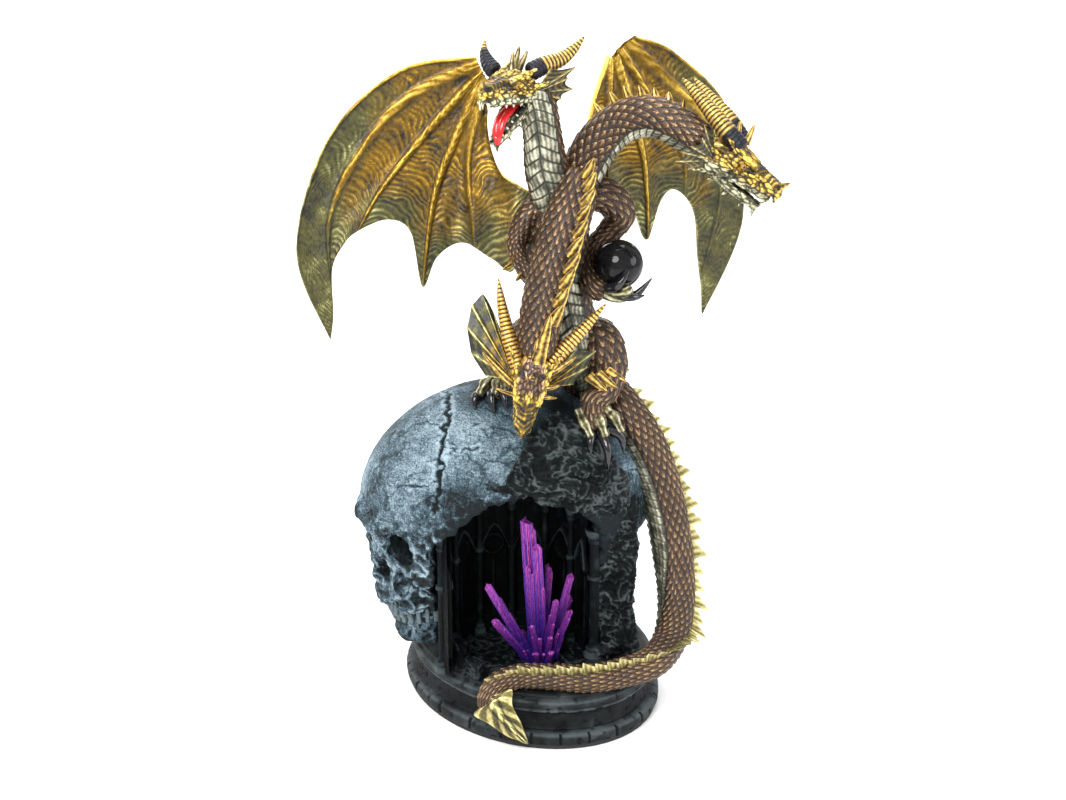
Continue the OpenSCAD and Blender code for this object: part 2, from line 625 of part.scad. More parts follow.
module centre_head_frills() color("#8f8f5c") {
  tube([[-24, -38, 213, 2, 2], [-32, -27, 225, 1.5, 5], [-34, -20, 240, 1.2, 6], [-32, -15, 253, 1, 4], [-29, -13, 261, 0.6, 1]], 3, 8, [-0.3, -0.9, 0.2]);
  tube([[-3, -44, 208, 2, 2], [8, -43, 214, 1.2, 5], [19, -41, 221, 1, 4], [27, -40, 225, 0.6, 1]], 3, 8, [0.1, -1, 0]);
  spike([-27, -44, 212], [-35, -40, 218], 3);
  spike([-8, -47, 209], [0, -49, 206], 3);
}

module right_head() color("#b3903c") {
  tube([[84, -57, 344, 8, 9], [93, -64, 340, 12, 11], [102, -70, 334, 11, 11], [110, -76, 326, 8, 9],
        [118, -80, 318, 6.5, 7.5], [124, -82, 313, 5, 6], [126, -83, 311, 2.5, 3]], 3, 12, [-0.6, -0.8, 0]);
  spike([123, -82, 317], [128, -82, 323], 2.4);
  spike([112, -79, 310], [112, -79, 303], 2.2);
}

module right_head_horns() color("#8a7434") {
  tube([[97, -72, 345, 4.6], [91, -65, 354, 4.6], [84, -53, 366, 3.6], [79, -45, 374, 2.2], [76, -40, 379, 0.6]], 3, 10);
  tube([[105, -58, 347, 4.6], [101, -50, 356, 4.4], [95, -39, 366, 3.4], [91, -31, 373, 2], [89, -27, 377, 0.6]], 3, 10);
  spike([105, -66, 345], [110, -64, 353], 3);
}

module right_head_frills() color("#9a9a6a") {
  tube([[92, -71, 338, 1.5, 5], [83, -66, 344, 1.2, 6], [78, -60, 350, 0.8, 3], [76, -58, 354, 0.5, 1]], 3, 8, [-0.8, -0.55, 0]);
  tube([[96, -55, 340, 1.5, 5], [90, -47, 344, 1.2, 6], [86, -41, 350, 0.8, 3]], 3, 8, [0.8, 0.55, 0]);
}

module eyes() color("#e8e8e8") {
  for (p = [[-18.5, -24, 377], [-29, -12, 379], [-24, -50, 207], [-9, -53, 205], [109, -83, 333], [113, -66, 334]])
    translate(p) sphere(1.6, $fn = 20);
}

module tail() color("#7a5638") tube([
  [33, 2, 196, 11], [45, 1, 190, 12], [55, -10, 178, 12.5], [68, -20, 154, 12.5], [76, -29, 124, 12],
  [79, -38, 94, 11.5], [78, -49, 66, 10.5], [68, -65, 49, 9.5], [51, -80, 43, 8.5],
  [30, -84, 41, 7.5], [9, -83, 40, 7], [-10, -75, 40, 6.5], [-28, -68, 40, 6], [-43, -68, 37, 5.5],
  [-50, -72, 30, 4.5], [-50, -74, 26, 3],
], 3, 10);

module tail_spines() color("#b8923a") {
  for (q = [[59, -2, 183, 67, 1, 188], [70, -11, 166, 79, -10, 170], [79, -19, 146, 88, -19, 149],
            [85, -27, 121, 94, -28, 123], [88, -36, 96, 97, -38, 97], [86, -46, 73, 94, -49, 71],
            [79, -62, 54, 86, -67, 51], [66, -77, 49, 69, -84, 53], [48, -86, 47, 49, -91, 53],
            [28, -88, 46, 26, -92, 52], [8, -87, 45, 6, -91, 50], [-11, -80, 44, -14, -84, 49]])
    spike([q[0], q[1], q[2]], [q[3], q[4], q[5]], 3.6, 0.6);
}

module tail_tip() color("#c09a3c") tube([
  [-51, -74, 29, 2.5, 2.5], [-50, -77, 26, 8, 2.2], [-46, -80, 22, 11, 2], [-40, -83, 15, 7, 1.8], [-34, -86, 9, 3, 1.5], [-30, -87, 6, 0.6, 0.6],
], 3, 10, [0.75, 0.25, 0.6]);

// ---- wings ----

// Rays of each wing, from its outer edge round to the body, each from the wrist to the hem
left_rays = [
  [[-31, 35, 380], [-68, 41, 375], [-105, 46, 345], [-128, 44, 293], [-113, 31, 225]],
  [[-30, 35, 377], [-66, 41, 366], [-98, 45, 335], [-118, 43, 290], [-111, 34, 242]],
  [[-29, 35, 375], [-62, 41, 357], [-88, 43, 328], [-104, 42, 298], [-110, 38, 266]],
  [[-28, 35, 373], [-58, 40, 350], [-79, 42, 325], [-93, 41, 305], [-103, 38, 280]],
  [[-28, 34, 372], [-52, 39, 344], [-70, 40, 322], [-83, 39, 306], [-94, 38, 288]],
  [[-27, 34, 371], [-46, 38, 340], [-59, 38, 320], [-68, 37, 306], [-76, 37, 294]],
  [[-27, 34, 370], [-42, 37, 338], [-52, 37, 316], [-58, 36, 300], [-63, 35, 286]],
  [[-27, 34, 370], [-38, 36, 335], [-47, 36, 310], [-53, 33, 285], [-58, 29, 254]],
  [[-26, 33, 369], [-34, 35, 335], [-40, 34, 310], [-45, 32, 290], [-48, 31, 271]],
  [[-26, 33, 368], [-30, 34, 335], [-32, 32, 312], [-33, 31, 296], [-33, 29, 279]],
  [[-25, 32, 367], [-25, 31, 338], [-24, 29, 318], [-23, 28, 298], [-21, 26, 275]],
  [[-24, 32, 368], [-20, 30, 340], [-17, 27, 320], [-15, 24, 300], [-14, 21, 280]],
  [[-22, 31, 371], [-17, 29, 348], [-13, 26, 330], [-11, 22, 316], [-11, 19, 302]],
];

right_rays = [
  [[68, 12, 398], [92, 9, 388], [124, 6, 357], [139, 9, 302], [118, 16, 226]],
  [[65, 12, 396], [88, 10, 378], [116, 8, 350], [129, 10, 302], [117, 16, 242]],
  [[62, 13, 394], [84, 11, 370], [107, 9, 345], [120, 11, 305], [114, 16, 262]],
  [[60, 13, 392], [80, 11, 364], [98, 10, 342], [109, 12, 316], [109, 13, 292]],
  [[58, 14, 390], [76, 11, 360], [89, 11, 340], [96, 13, 322], [97, 14, 306]],
  [[57, 14, 388], [72, 11, 356], [82, 12, 336], [86, 13, 318], [87, 14, 300]],
  [[56, 14, 387], [67, 12, 352], [74, 12, 328], [77, 12, 304], [78, 12, 277]],
  [[55, 14, 386], [62, 12, 352], [66, 12, 332], [69, 12, 312], [70, 12, 293]],
  [[54, 14, 386], [57, 12, 354], [59, 12, 336], [61, 12, 320], [62, 12, 304]],
  [[53, 14, 386], [52, 11, 358], [51, 11, 340], [51, 11, 326], [51, 10, 311]],
  [[52, 14, 386], [46, 11, 360], [43, 11, 344], [42, 11, 332], [42, 10, 319]],
  [[51, 14, 387], [42, 11, 364], [38, 10, 348], [35, 10, 338], [34, 9, 327]],
];

module left_wing() color("#b98a2c") membrane(left_rays, unit([-0.25, -0.95, 0.1]), [0, 2, 4, 7, 10, 12]);

module right_wing() color("#b98a2c") membrane(right_rays, unit([0.1, -0.98, 0.1]), [0, 2, 6, 8, 11]);

// Steel peg with the collar that the wing is cast round
module wing_peg(root, axis) along(root, axis) {
  translate([0, 0, -peg_depth]) cylinder(h = peg_depth + 4, r = peg_r);
  translate([0, 0, play]) cylinder(h = 9, r1 = 7.5, r2 = 5);
}

module left_wing_peg() color("silver") wing_peg(left_root, left_axis);

module right_wing_peg() color("silver") wing_peg(right_root, right_axis);

plinth();
bottom_cover();
cover_screws();
foam_pad();
battery_box();
battery_door();
batteries();
battery_contacts();
switch_body();
switch_slider();
led_board();
leds();
light_window();
lead_wires();
skull();
lower_jaw();
skull_teeth();
rock_brim();
rock_pillar();
rear_rock();
grotto_wall();
grotto_columns();
grotto_floor();
grotto_stairs();
crystals();
torso();
wing_sockets();
left_leg();
right_leg();
foot_claws();
left_arm();
right_arm();
hand_claws();
orb();
left_neck();
centre_neck();
right_neck();
neck_spines();
left_head();
left_head_jaw();
left_head_tongue();
left_head_teeth();
left_head_horns();
left_head_frills();
centre_head();
centre_head_horns();
centre_head_frills();
right_head();
right_head_horns();
right_head_frills();
eyes();
tail();
tail_spines();
tail_tip();
left_wing();
left_wing_peg();
right_wing();
right_wing_peg();
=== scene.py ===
import math
import bpy
import numpy as np
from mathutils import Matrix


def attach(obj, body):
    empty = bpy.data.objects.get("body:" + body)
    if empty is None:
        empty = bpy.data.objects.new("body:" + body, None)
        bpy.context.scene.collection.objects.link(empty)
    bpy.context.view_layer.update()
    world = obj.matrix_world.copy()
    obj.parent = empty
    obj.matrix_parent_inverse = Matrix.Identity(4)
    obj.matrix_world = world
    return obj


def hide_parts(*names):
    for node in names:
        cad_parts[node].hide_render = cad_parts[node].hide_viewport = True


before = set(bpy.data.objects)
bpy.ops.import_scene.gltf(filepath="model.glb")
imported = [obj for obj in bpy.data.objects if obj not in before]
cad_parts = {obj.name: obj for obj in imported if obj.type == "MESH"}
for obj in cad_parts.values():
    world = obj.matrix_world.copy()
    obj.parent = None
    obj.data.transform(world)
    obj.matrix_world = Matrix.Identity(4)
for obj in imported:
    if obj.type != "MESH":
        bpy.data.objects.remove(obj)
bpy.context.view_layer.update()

import openvdb as vdb
from mathutils import Vector

MM = 0.001
RNG = np.random.default_rng(7)
ROOT = "statue"


# ---------------------------------------------------------------- numbers

def vec(*v):
    return np.array(v, float)


def unit(v):
    return v / np.maximum(np.linalg.norm(v, axis=-1, keepdims=True), 1e-9)


def smoothstep(a, b, x):
    t = np.clip((x - a) / (b - a), 0, 1)
    return t * t * (3 - 2 * t)


def catmull(points, k):
    """Catmull-Rom curve through the rows of points, k steps to a span, along axis 0."""
    p = np.asarray(points, float)
    n = len(p)
    t = np.linspace(0, n - 1, (n - 1) * k + 1)
    i = np.minimum(t.astype(int), n - 2)
    f = (t - i).reshape((-1,) + (1,) * (p.ndim - 1))
    a, b, c, d = p[np.maximum(i - 1, 0)], p[i], p[i + 1], p[np.minimum(i + 2, n - 1)]
    return 0.5 * (2 * b + (c - a) * f + (2 * a - 5 * b + 4 * c - d) * f ** 2
                  + (3 * b - a - 3 * c + d) * f ** 3)


def hash3(i, j, k, seed=0):
    """A repeatable number from 0 to 1 for each lattice point."""
    h = (i * 73856093) ^ (j * 19349663) ^ (k * 83492791) ^ (seed * 2654435 + 977)
    h = (h ^ (h >> 13)) * 1274126177 & 0x7FFFFFFF
    return ((h ^ (h >> 16)) & 0xFFFF) / 65535.0


def noise(p, size, seed=0):
    """Smooth value noise from -1 to 1 at the points p (last axis x, y, z), cells of that size."""
    q = p / size
    b = np.floor(q).astype(np.int64)
    f = q - b
    f = f * f * (3 - 2 * f)
    out = 0
    for dx in (0, 1):
        wx = f[..., 0] if dx else 1 - f[..., 0]
        for dy in (0, 1):
            wy = f[..., 1] if dy else 1 - f[..., 1]
            for dz in (0, 1):
                wz = f[..., 2] if dz else 1 - f[..., 2]
                out = out + wx * wy * wz * hash3(b[..., 0] + dx, b[..., 1] + dy, b[..., 2] + dz, seed)
    return out * 2 - 1


def fbm(p, size, octaves=3, seed=0):
    out, amp = 0, 1.0
    for o in range(octaves):
        out = out + amp * noise(p, size / 2 ** o, seed + o)
        amp *= 0.5
    return out / 1.75


def cells(p, size, seed=0):
    """Distance to the nearest and the second nearest of scattered centres, in cells."""
    q = p / size
    b = np.floor(q).astype(np.int64)
    near = np.full(p.shape[:-1], 9.0)
    second = near.copy()
    for dx in (-1, 0, 1):
        for dy in (-1, 0, 1):
            for dz in (-1, 0, 1):
                i, j, k = b[..., 0] + dx, b[..., 1] + dy, b[..., 2] + dz
                c = np.stack([i + hash3(i, j, k, seed), j + hash3(i, j, k, seed + 1),
                              k + hash3(i, j, k, seed + 2)], -1)
                d = np.linalg.norm(q - c, axis=-1)
                second = np.minimum(second, np.maximum(near, d))
                near = np.minimum(near, d)
    return near, second


# ---------------------------------------------------------------- meshes

def add_mesh(name, verts_mm, faces, material, body=ROOT, replaces=(), slot=None, attrs=None, shade=True):
    """One piece from points in mm and faces of equal size, riding on a body."""
    me = bpy.data.meshes.new(name)
    v = np.asarray(verts_mm, np.float32) * MM
    f = np.asarray(faces, np.int32)
    me.vertices.add(len(v))
    me.vertices.foreach_set("co", v.ravel())
    me.loops.add(f.size)
    me.loops.foreach_set("vertex_index", f.ravel())
    me.polygons.add(len(f))
    me.polygons.foreach_set("loop_start", np.arange(0, f.size, f.shape[1], dtype=np.int32))
    me.polygons.foreach_set("use_smooth", np.full(len(f), shade))
    for key, values in (attrs or {}).items():
        a = me.attributes.new(key, "FLOAT", "POINT")
        a.data.foreach_set("value", np.asarray(values, np.float32).ravel())
    me.update(calc_edges=True)
    me.validate()
    me.materials.append(material)
    ob = bpy.data.objects.new(name, me)
    bpy.context.scene.collection.objects.link(ob)
    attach(ob, body)
    if replaces:
        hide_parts(*replaces)
    return ob


def grid_faces(rows, cols, wrap=False, start=0):
    """Quads of a grid of rows by cols points; wrap joins the last column to the first."""
    i, j = np.meshgrid(np.arange(rows - 1), np.arange(cols if wrap else cols - 1), indexing="ij")
    a = i * cols + j
    b = i * cols + (j + 1) % cols
    return start + np.stack([a, b, b + cols, a + cols], -1).reshape(-1, 4)


class Soup:
    """Gathers shapes of one piece."""

    def __init__(self):
        self.v, self.f, self.a, self.n = [], [], {}, 0

    def add(self, verts, faces, **attrs):
        verts = np.asarray(verts).reshape(-1, 3)
        self.v.append(verts)
        self.f.append(np.asarray(faces) + self.n)
        for key, value in attrs.items():
            self.a.setdefault(key, []).append(np.broadcast_to(np.asarray(value, float).ravel(), len(verts)))
        self.n += len(verts)

    def done(self, name, material, **more):
        attrs = {k: np.concatenate(v) for k, v in self.a.items()}
        return add_mesh(name, np.concatenate(self.v), np.concatenate(self.f), material, attrs=attrs, **more)


def sweep(stations, dorsal, step=0.6, around=120):
    """Fine tube through stations [x, y, z, side radius, dorsal radius].

    dorsal gives, for each station, the way its back points. Returns the ring centres, radii,
    directions, arc length in mm along each ring and the angle round it, 0 at the back.
    """
    s = np.asarray([list(q) + ([q[3]] if len(q) == 4 else []) for q in stations], float)
    rough = catmull(s, 12)
    length = np.r_[0, np.cumsum(np.linalg.norm(np.diff(rough[:, :3], axis=0), axis=1))]
    n = max(int(length[-1] / step), 8)
    u = np.linspace(0, length[-1], n)
    fine = np.stack([np.interp(u, length, rough[:, k]) for k in range(5)], 1)
    hint = catmull(np.asarray(dorsal, float), 12)
    hint = np.stack([np.interp(u, length, hint[:, k]) for k in range(3)], 1)
    tangent = unit(np.gradient(fine[:, :3], axis=0))
    up = unit(hint - np.sum(hint * tangent, 1, keepdims=True) * tangent)
    side = np.cross(tangent, up)
    angle = np.linspace(0, 2 * np.pi, around, endpoint=False)
    return fine, up, side, u, angle, tangent


def skin(name, stations, dorsal, relief, material, step=0.6, around=120, round_ends=True, soup=None, **more):
    """Tube whose surface is raised by relief(u, angle, radius, point), which also returns attributes."""
    fine, up, side, u, angle, tangent = sweep(stations, dorsal, step, around)
    ra, rb = fine[:, 3:4], fine[:, 4:5]
    total = u[-1]
    if round_ends:
        for edge in (u, total - u):
            k = np.sqrt(np.clip(1 - (1 - np.clip(edge[:, None] / np.maximum(0.6 * ra, 0.1), 0, 1)) ** 2, 0, 1))
            ra, rb = ra * np.maximum(k, 0.02), rb * np.maximum(k, 0.02)
    c, s = np.cos(angle)[None], np.sin(angle)[None]
    out = unit(up[:, None] * (c / np.maximum(rb, 0.05))[..., None] + side[:, None] * (s / np.maximum(ra, 0.05))[..., None])
    base = fine[:, None, :3] + up[:, None] * (rb * c)[..., None] + side[:, None] * (ra * s)[..., None]
    height, attrs = relief(u[:, None] + 0 * angle, angle[None] + 0 * u[:, None], np.sqrt(ra * rb), base)
    fade = smoothstep(0, 2.5, np.minimum(u, total - u))[:, None]
    v = base + out * (height * fade)[..., None]
    rows, cols = v.shape[:2]
    faces = grid_faces(rows, cols, wrap=True)
    v = np.concatenate([v.reshape(-1, 3), v[0].mean(0)[None], v[-1].mean(0)[None]])
    cap0, cap1 = rows * cols, rows * cols + 1
    j = np.arange(cols)
    e = (j + 1) % cols
    caps = [np.stack([e, j, np.full(cols, cap0), np.full(cols, cap0)], 1),
            np.stack([j, e, np.full(cols, cap1), np.full(cols, cap1)], 1) + [(rows - 1) * cols, (rows - 1) * cols, 0, 0]]
    attrs = {k: np.r_[np.broadcast_to(a, (rows, cols)).ravel(), 0.5, 0.5] for k, a in attrs.items()}
    tri = np.concatenate(caps)[:, :3]
    quads = np.concatenate([faces[:, [0, 1, 2]], faces[:, [0, 2, 3]], tri])[:, ::-1]
    if soup is not None:
        soup.add(v, quads, **attrs)
        return None
    return add_mesh(name, v, quads, material, attrs=attrs, **more)


# ---------------------------------------------------------------- reliefs

def leaf_scales(u, angle, radius, pitch, count, keel=0.35):
    """Overlapping pointed scales: height 0 to 1.5, and 0 to 1 from painted shade beside each overlying scale's edge to
    the rubbed tips, with painted highlights on rims and keels.
    """
    w = angle / (2 * np.pi) * count
    row = np.floor(u / pitch)
    a = u / pitch - row
    b0 = np.abs((w + 0.5 * (row % 2)) % 1.0 - 0.5)
    b1 = np.abs((w + 0.5 * ((row + 1) % 2)) % 1.0 - 0.5)
    edge = b1 - 0.5 * (1 - a) ** 0.7
    top = edge < 0
    height = np.where(top, 0.55 + 0.45 * a + keel * (1 - 2 * b1), 0.5 * a * smoothstep(0, 0.1, edge) + keel * (1 - 2 * b0))
    # painted highlight: brighter along each scale's raised rim and keel, over the rubbed paint
    rim = smoothstep(-0.2, -0.05, edge)
    ridge = np.exp(-(b1 / 0.1) ** 2)
    over = 0.22 + 0.3 * a + 0.5 * np.maximum(rim * (0.3 + 0.7 * a), ridge * 0.8)
    # painted shade: the scale below is darkened just beyond the edge of the scale over it
    under = (0.1 + 0.35 * a) * smoothstep(0.02, 0.25, edge)
    return height, np.where(top, over, under)


def plates(u, phi, pitch, slope=0.5):
    """Overlapping belly plates with a V shape; phi is mm from the belly's middle line."""
    x = u / pitch + slope * np.abs(phi) / pitch
    f = x - np.floor(x)
    step = f * smoothstep(1.0, 0.9, f)
    return step, smoothstep(1.0, 0.88, f) * smoothstep(0.0, 0.12, f) * smoothstep(0.0, 0.9, np.abs(phi))


def dragon_relief(pitch=4.2, count=16, belly=0.6, plate=6.5, tone=0.25, scale_h=1.1, down=1.0, v_slope=0.5):
    """Bronze scales on the back and sides and silver-gold plates in a band of half width belly radians."""
    def relief(u, angle, radius, p):
        off = np.abs(angle - np.pi)
        phi = (angle - np.pi) * radius
        sh, sc = leaf_scales(u * down, angle, radius, pitch, count)
        ph, pc = plates(u * -down, phi, plate, v_slope)
        grain = 0.5 + 0.5 * np.cos(phi * 2.6 + 1.5 * noise(p, 5, 6))
        pc = pc * (0.45 + 0.35 * grain + 0.35 * noise(p, 4, 8))
        ph = ph + 0.12 * grain
        edge = smoothstep(belly + 0.12, belly - 0.02, off)
        h = (1 - edge) * sh * scale_h + edge * (ph * 1.2 + 0.2)
        border = 1 - np.exp(-((off - belly - 0.05) / 0.07) ** 2) * 0.8
        cav = ((1 - edge) * sc + edge * pc) * border
        h = h - (1 - border) * 0.5 + 0.15 * noise(p, 2.0, 3)
        return h, {"cav": cav, "tone": tone * (1 - edge) + edge * 0.95}
    return relief


def ring_relief(pitch=2.6, amount=0.35, dark=9.0):
    """Horn rings, with a dark root of that length."""
    def relief(u, angle, radius, p):
        f = np.abs(np.sin(np.pi * u / pitch)) ** 0.6
        lines = 0.5 + 0.5 * np.cos(angle * 9 + 0.3 * noise(p, 3, 5))
        h = amount * (f - 0.5) * np.clip(radius / 2.5, 0.2, 1) + 0.05 * lines
        return h, {"cav": np.clip(1.15 * f ** 1.5 * (0.85 + 0.15 * lines) - 0.1, 0, 1), "tone": smoothstep(dark, dark + 4, u)}
    return relief


def fibre_relief(amount=0.35, lines=7, tone=0.9):
    """Long grooves for spines, claws and frills."""
    def relief(u, angle, radius, p):
        f = 0.5 + 0.5 * np.cos(angle * lines + 0.8 * noise(p, 4, 2))
        g = noise(p, 1.6, 4)
        return amount * (f - 0.4) + 0.1 * g, {"cav": np.clip(0.15 + 0.65 * f + 0.25 * g, 0, 1), "tone": tone + 0 * u}
    return relief


# ---------------------------------------------------------------- materials

class Nodes:
    """Small helper that builds a material's node tree."""

    def __init__(self, name):
        self.mat = bpy.data.materials.new(name)
        self.mat.use_nodes = True
        self.t = self.mat.node_tree
        self.bsdf = self.t.nodes["Principled BSDF"]
        self.coord = self.t.nodes.new("ShaderNodeTexCoord").outputs["Object"]

    def link(self, a, b):
        if isinstance(a, (int, float)):
            b.default_value = a
        elif isinstance(a, tuple):
            b.default_value = a if len(a) == 4 else (*a, 1)
        else:
            self.t.links.new(a, b)

    def attr(self, name):
        n = self.t.nodes.new("ShaderNodeAttribute")
        n.attribute_name = name
        return n.outputs["Fac"]

    def noise(self, size_mm, detail=4, rough=0.6, stretch=(1, 1, 1), distort=0.0):
        m = self.t.nodes.new("ShaderNodeMapping")
        m.inputs["Scale"].default_value = stretch
        self.link(self.coord, m.inputs["Vector"])
        n = self.t.nodes.new("ShaderNodeTexNoise")
        n.inputs["Scale"].default_value = 1000 / size_mm
        n.inputs["Detail"].default_value = detail
        n.inputs["Roughness"].default_value = rough
        n.inputs["Distortion"].default_value = distort
        self.link(m.outputs[0], n.inputs["Vector"])
        return n.outputs["Fac"]

    def cell(self, size_mm, feature="DISTANCE_TO_EDGE"):
        n = self.t.nodes.new("ShaderNodeTexVoronoi")
        n.feature = feature
        n.inputs["Scale"].default_value = 1000 / size_mm
        self.link(self.coord, n.inputs["Vector"])
        return n.outputs["Distance"]

    def ramp(self, x, stops):
        n = self.t.nodes.new("ShaderNodeValToRGB")
        e = n.color_ramp.elements
        while len(e) < len(stops):
            e.new(0.5)
        for el, (pos, col) in zip(e, stops):
            el.position = pos
            el.color = (*col, 1) if len(col) == 3 else (col[0], col[0], col[0], 1)
        self.link(x, n.inputs["Fac"])
        return n.outputs["Color"]

    def math(self, op, a, b=0.0):
        n = self.t.nodes.new("ShaderNodeMath")
        n.operation = op
        n.use_clamp = op in ("MULTIPLY", "ADD") and False
        self.link(a, n.inputs[0])
        self.link(b, n.inputs[1])
        return n.outputs[0]

    def mix(self, f, a, b, blend="MIX"):
        n = self.t.nodes.new("ShaderNodeMix")
        n.data_type = "RGBA"
        n.blend_type = blend
        self.link(f, n.inputs[0])
        self.link(a, n.inputs[6])
        self.link(b, n.inputs[7])
        return n.outputs[2]

    def bump(self, height, depth_mm, strength=1.0):
        n = self.t.nodes.new("ShaderNodeBump")
        n.inputs["Distance"].default_value = depth_mm * MM
        n.inputs["Strength"].default_value = strength
        self.link(height, n.inputs["Height"])
        last = self.bsdf.inputs["Normal"].links
        if last:
            self.link(last[0].from_socket, n.inputs["Normal"])
        self.t.links.new(n.outputs[0], self.bsdf.inputs["Normal"])

    def out(self, colour, rough, metal=0.0, specular=0.5):
        self.link(colour, self.bsdf.inputs["Base Color"])
        self.link(rough, self.bsdf.inputs["Roughness"])
        self.link(metal, self.bsdf.inputs["Metallic"])
        self.bsdf.inputs["Specular IOR Level"].default_value = specular
        return self.mat


def wash_paint(name, dark, mid, light, dark2=None, mid2=None, light2=None, metal=0.85, rough=(0.3, 0.6),
               grain=1.6, bump=0.25, brow=None):
    """Metallic paint rubbed back over a dark wash: attribute cav is 0 in the grooves and 1 on top; it also carries
    painted shade in hollows and painted highlights on edges.

    Attribute tone slides from the first three colours to the second three.
    """
    n = Nodes(name)
    fine = n.noise(grain, 5, 0.65)
    patch = n.noise(14, 3, 0.55)
    cav = n.attr("cav")
    level = n.math("ADD", cav, n.math("MULTIPLY", n.math("SUBTRACT", fine, 0.5), 0.75))
    level = n.math("ADD", level, n.math("MULTIPLY", n.math("SUBTRACT", patch, 0.5), 0.5))
    colour = n.ramp(level, [(0.14, dark), (0.5, mid), (0.98, light)])
    if mid2:
        other = n.ramp(level, [(0.14, dark2 or dark), (0.5, mid2), (0.98, light2)])
        tone = n.math("ADD", n.attr("tone"), n.math("MULTIPLY", n.math("SUBTRACT", patch, 0.5), 0.35))
        colour = n.mix(n.ramp(tone, [(0.3, (0,)), (0.75, (1,))]), colour, other)
    if brow:
        colour = n.mix(n.attr("brow"), colour, n.ramp(level, [(0.15, brow[0]), (0.5, brow[1]), (1.0, brow[2])]))
    shine = n.ramp(level, [(0.15, (0.15,)), (0.5, (metal,))])
    roughness = n.ramp(n.noise(3.5, 4), [(0.3, (rough[0],)), (0.75, (rough[1],))])
    n.bump(fine, bump, 0.8)
    return n.out(colour, roughness, shine)


def stone_paint(name, dark, mid, light, grain=1.2, bump=0.35, hatch=None, metal=0.0, rough=(0.5, 0.85),
                specular=0.2):
    """Matt stone or bone paint, dry-brushed light on the high parts and along edges; the attribute cav also brings
    painted shade and painted highlights into its colour.
    """
    n = Nodes(name)
    fine = n.noise(grain, 6, 0.7)
    patch = n.noise(22, 4, 0.6)
    level = n.math("ADD", n.attr("cav"), n.math("MULTIPLY", n.math("SUBTRACT", fine, 0.5), 0.42))
    level = n.math("ADD", level, n.math("MULTIPLY", n.math("SUBTRACT", patch, 0.5), 0.7))
    if hatch:
        lines = n.noise(hatch[0], 4, 0.6, hatch[1], 2.2)
        cross = n.noise(hatch[0], 4, 0.6, hatch[2], 2.2)
        level = n.math("ADD", level, n.math("MULTIPLY", n.math("SUBTRACT", lines, 0.5), hatch[3]))
        level = n.math("ADD", level, n.math("MULTIPLY", n.math("SUBTRACT", cross, 0.5), hatch[3]))
        n.bump(lines, 0.25, 0.6)
    colour = n.ramp(level, [(0.15, dark), (0.5, mid), (0.95, light)])
    n.bump(fine, bump, 0.8)
    return n.out(colour, n.ramp(fine, [(0.3, (rough[0],)), (0.7, (rough[1],))]), metal, specular)


def plain_finish(name, colour, rough, metal=0.0, vary=0.15, grain=0.5, bump=0.03, specular=0.5):
    """Moulded plastic or plated metal with faint mottling and a fine grain."""
    n = Nodes(name)
    f = n.noise(grain, 4)
    wear = n.noise(9, 4, 0.7)
    lo = tuple(c * (1 - vary) for c in colour)
    hi = tuple(min(c * (1 + vary) + 0.01, 1) for c in colour)
    n.bump(f, bump, 0.7)
    roughness = n.ramp(wear, [(0.3, (rough * 0.8,)), (0.75, (min(rough * 1.3, 1),))])
    return n.out(n.ramp(wear, [(0.3, lo), (0.7, hi)]), roughness, metal, specular)


GOLD = dict(dark=(0.007, 0.006, 0.003), mid=(0.21, 0.13, 0.025), light=(0.88, 0.62, 0.13))
BRONZE = dict(dark=(0.006, 0.004, 0.003), mid=(0.075, 0.043, 0.026), light=(0.45, 0.29, 0.15))
SILVER = dict(dark2=(0.008, 0.009, 0.006), mid2=(0.11, 0.11, 0.075), light2=(0.58, 0.57, 0.44))

M = {}


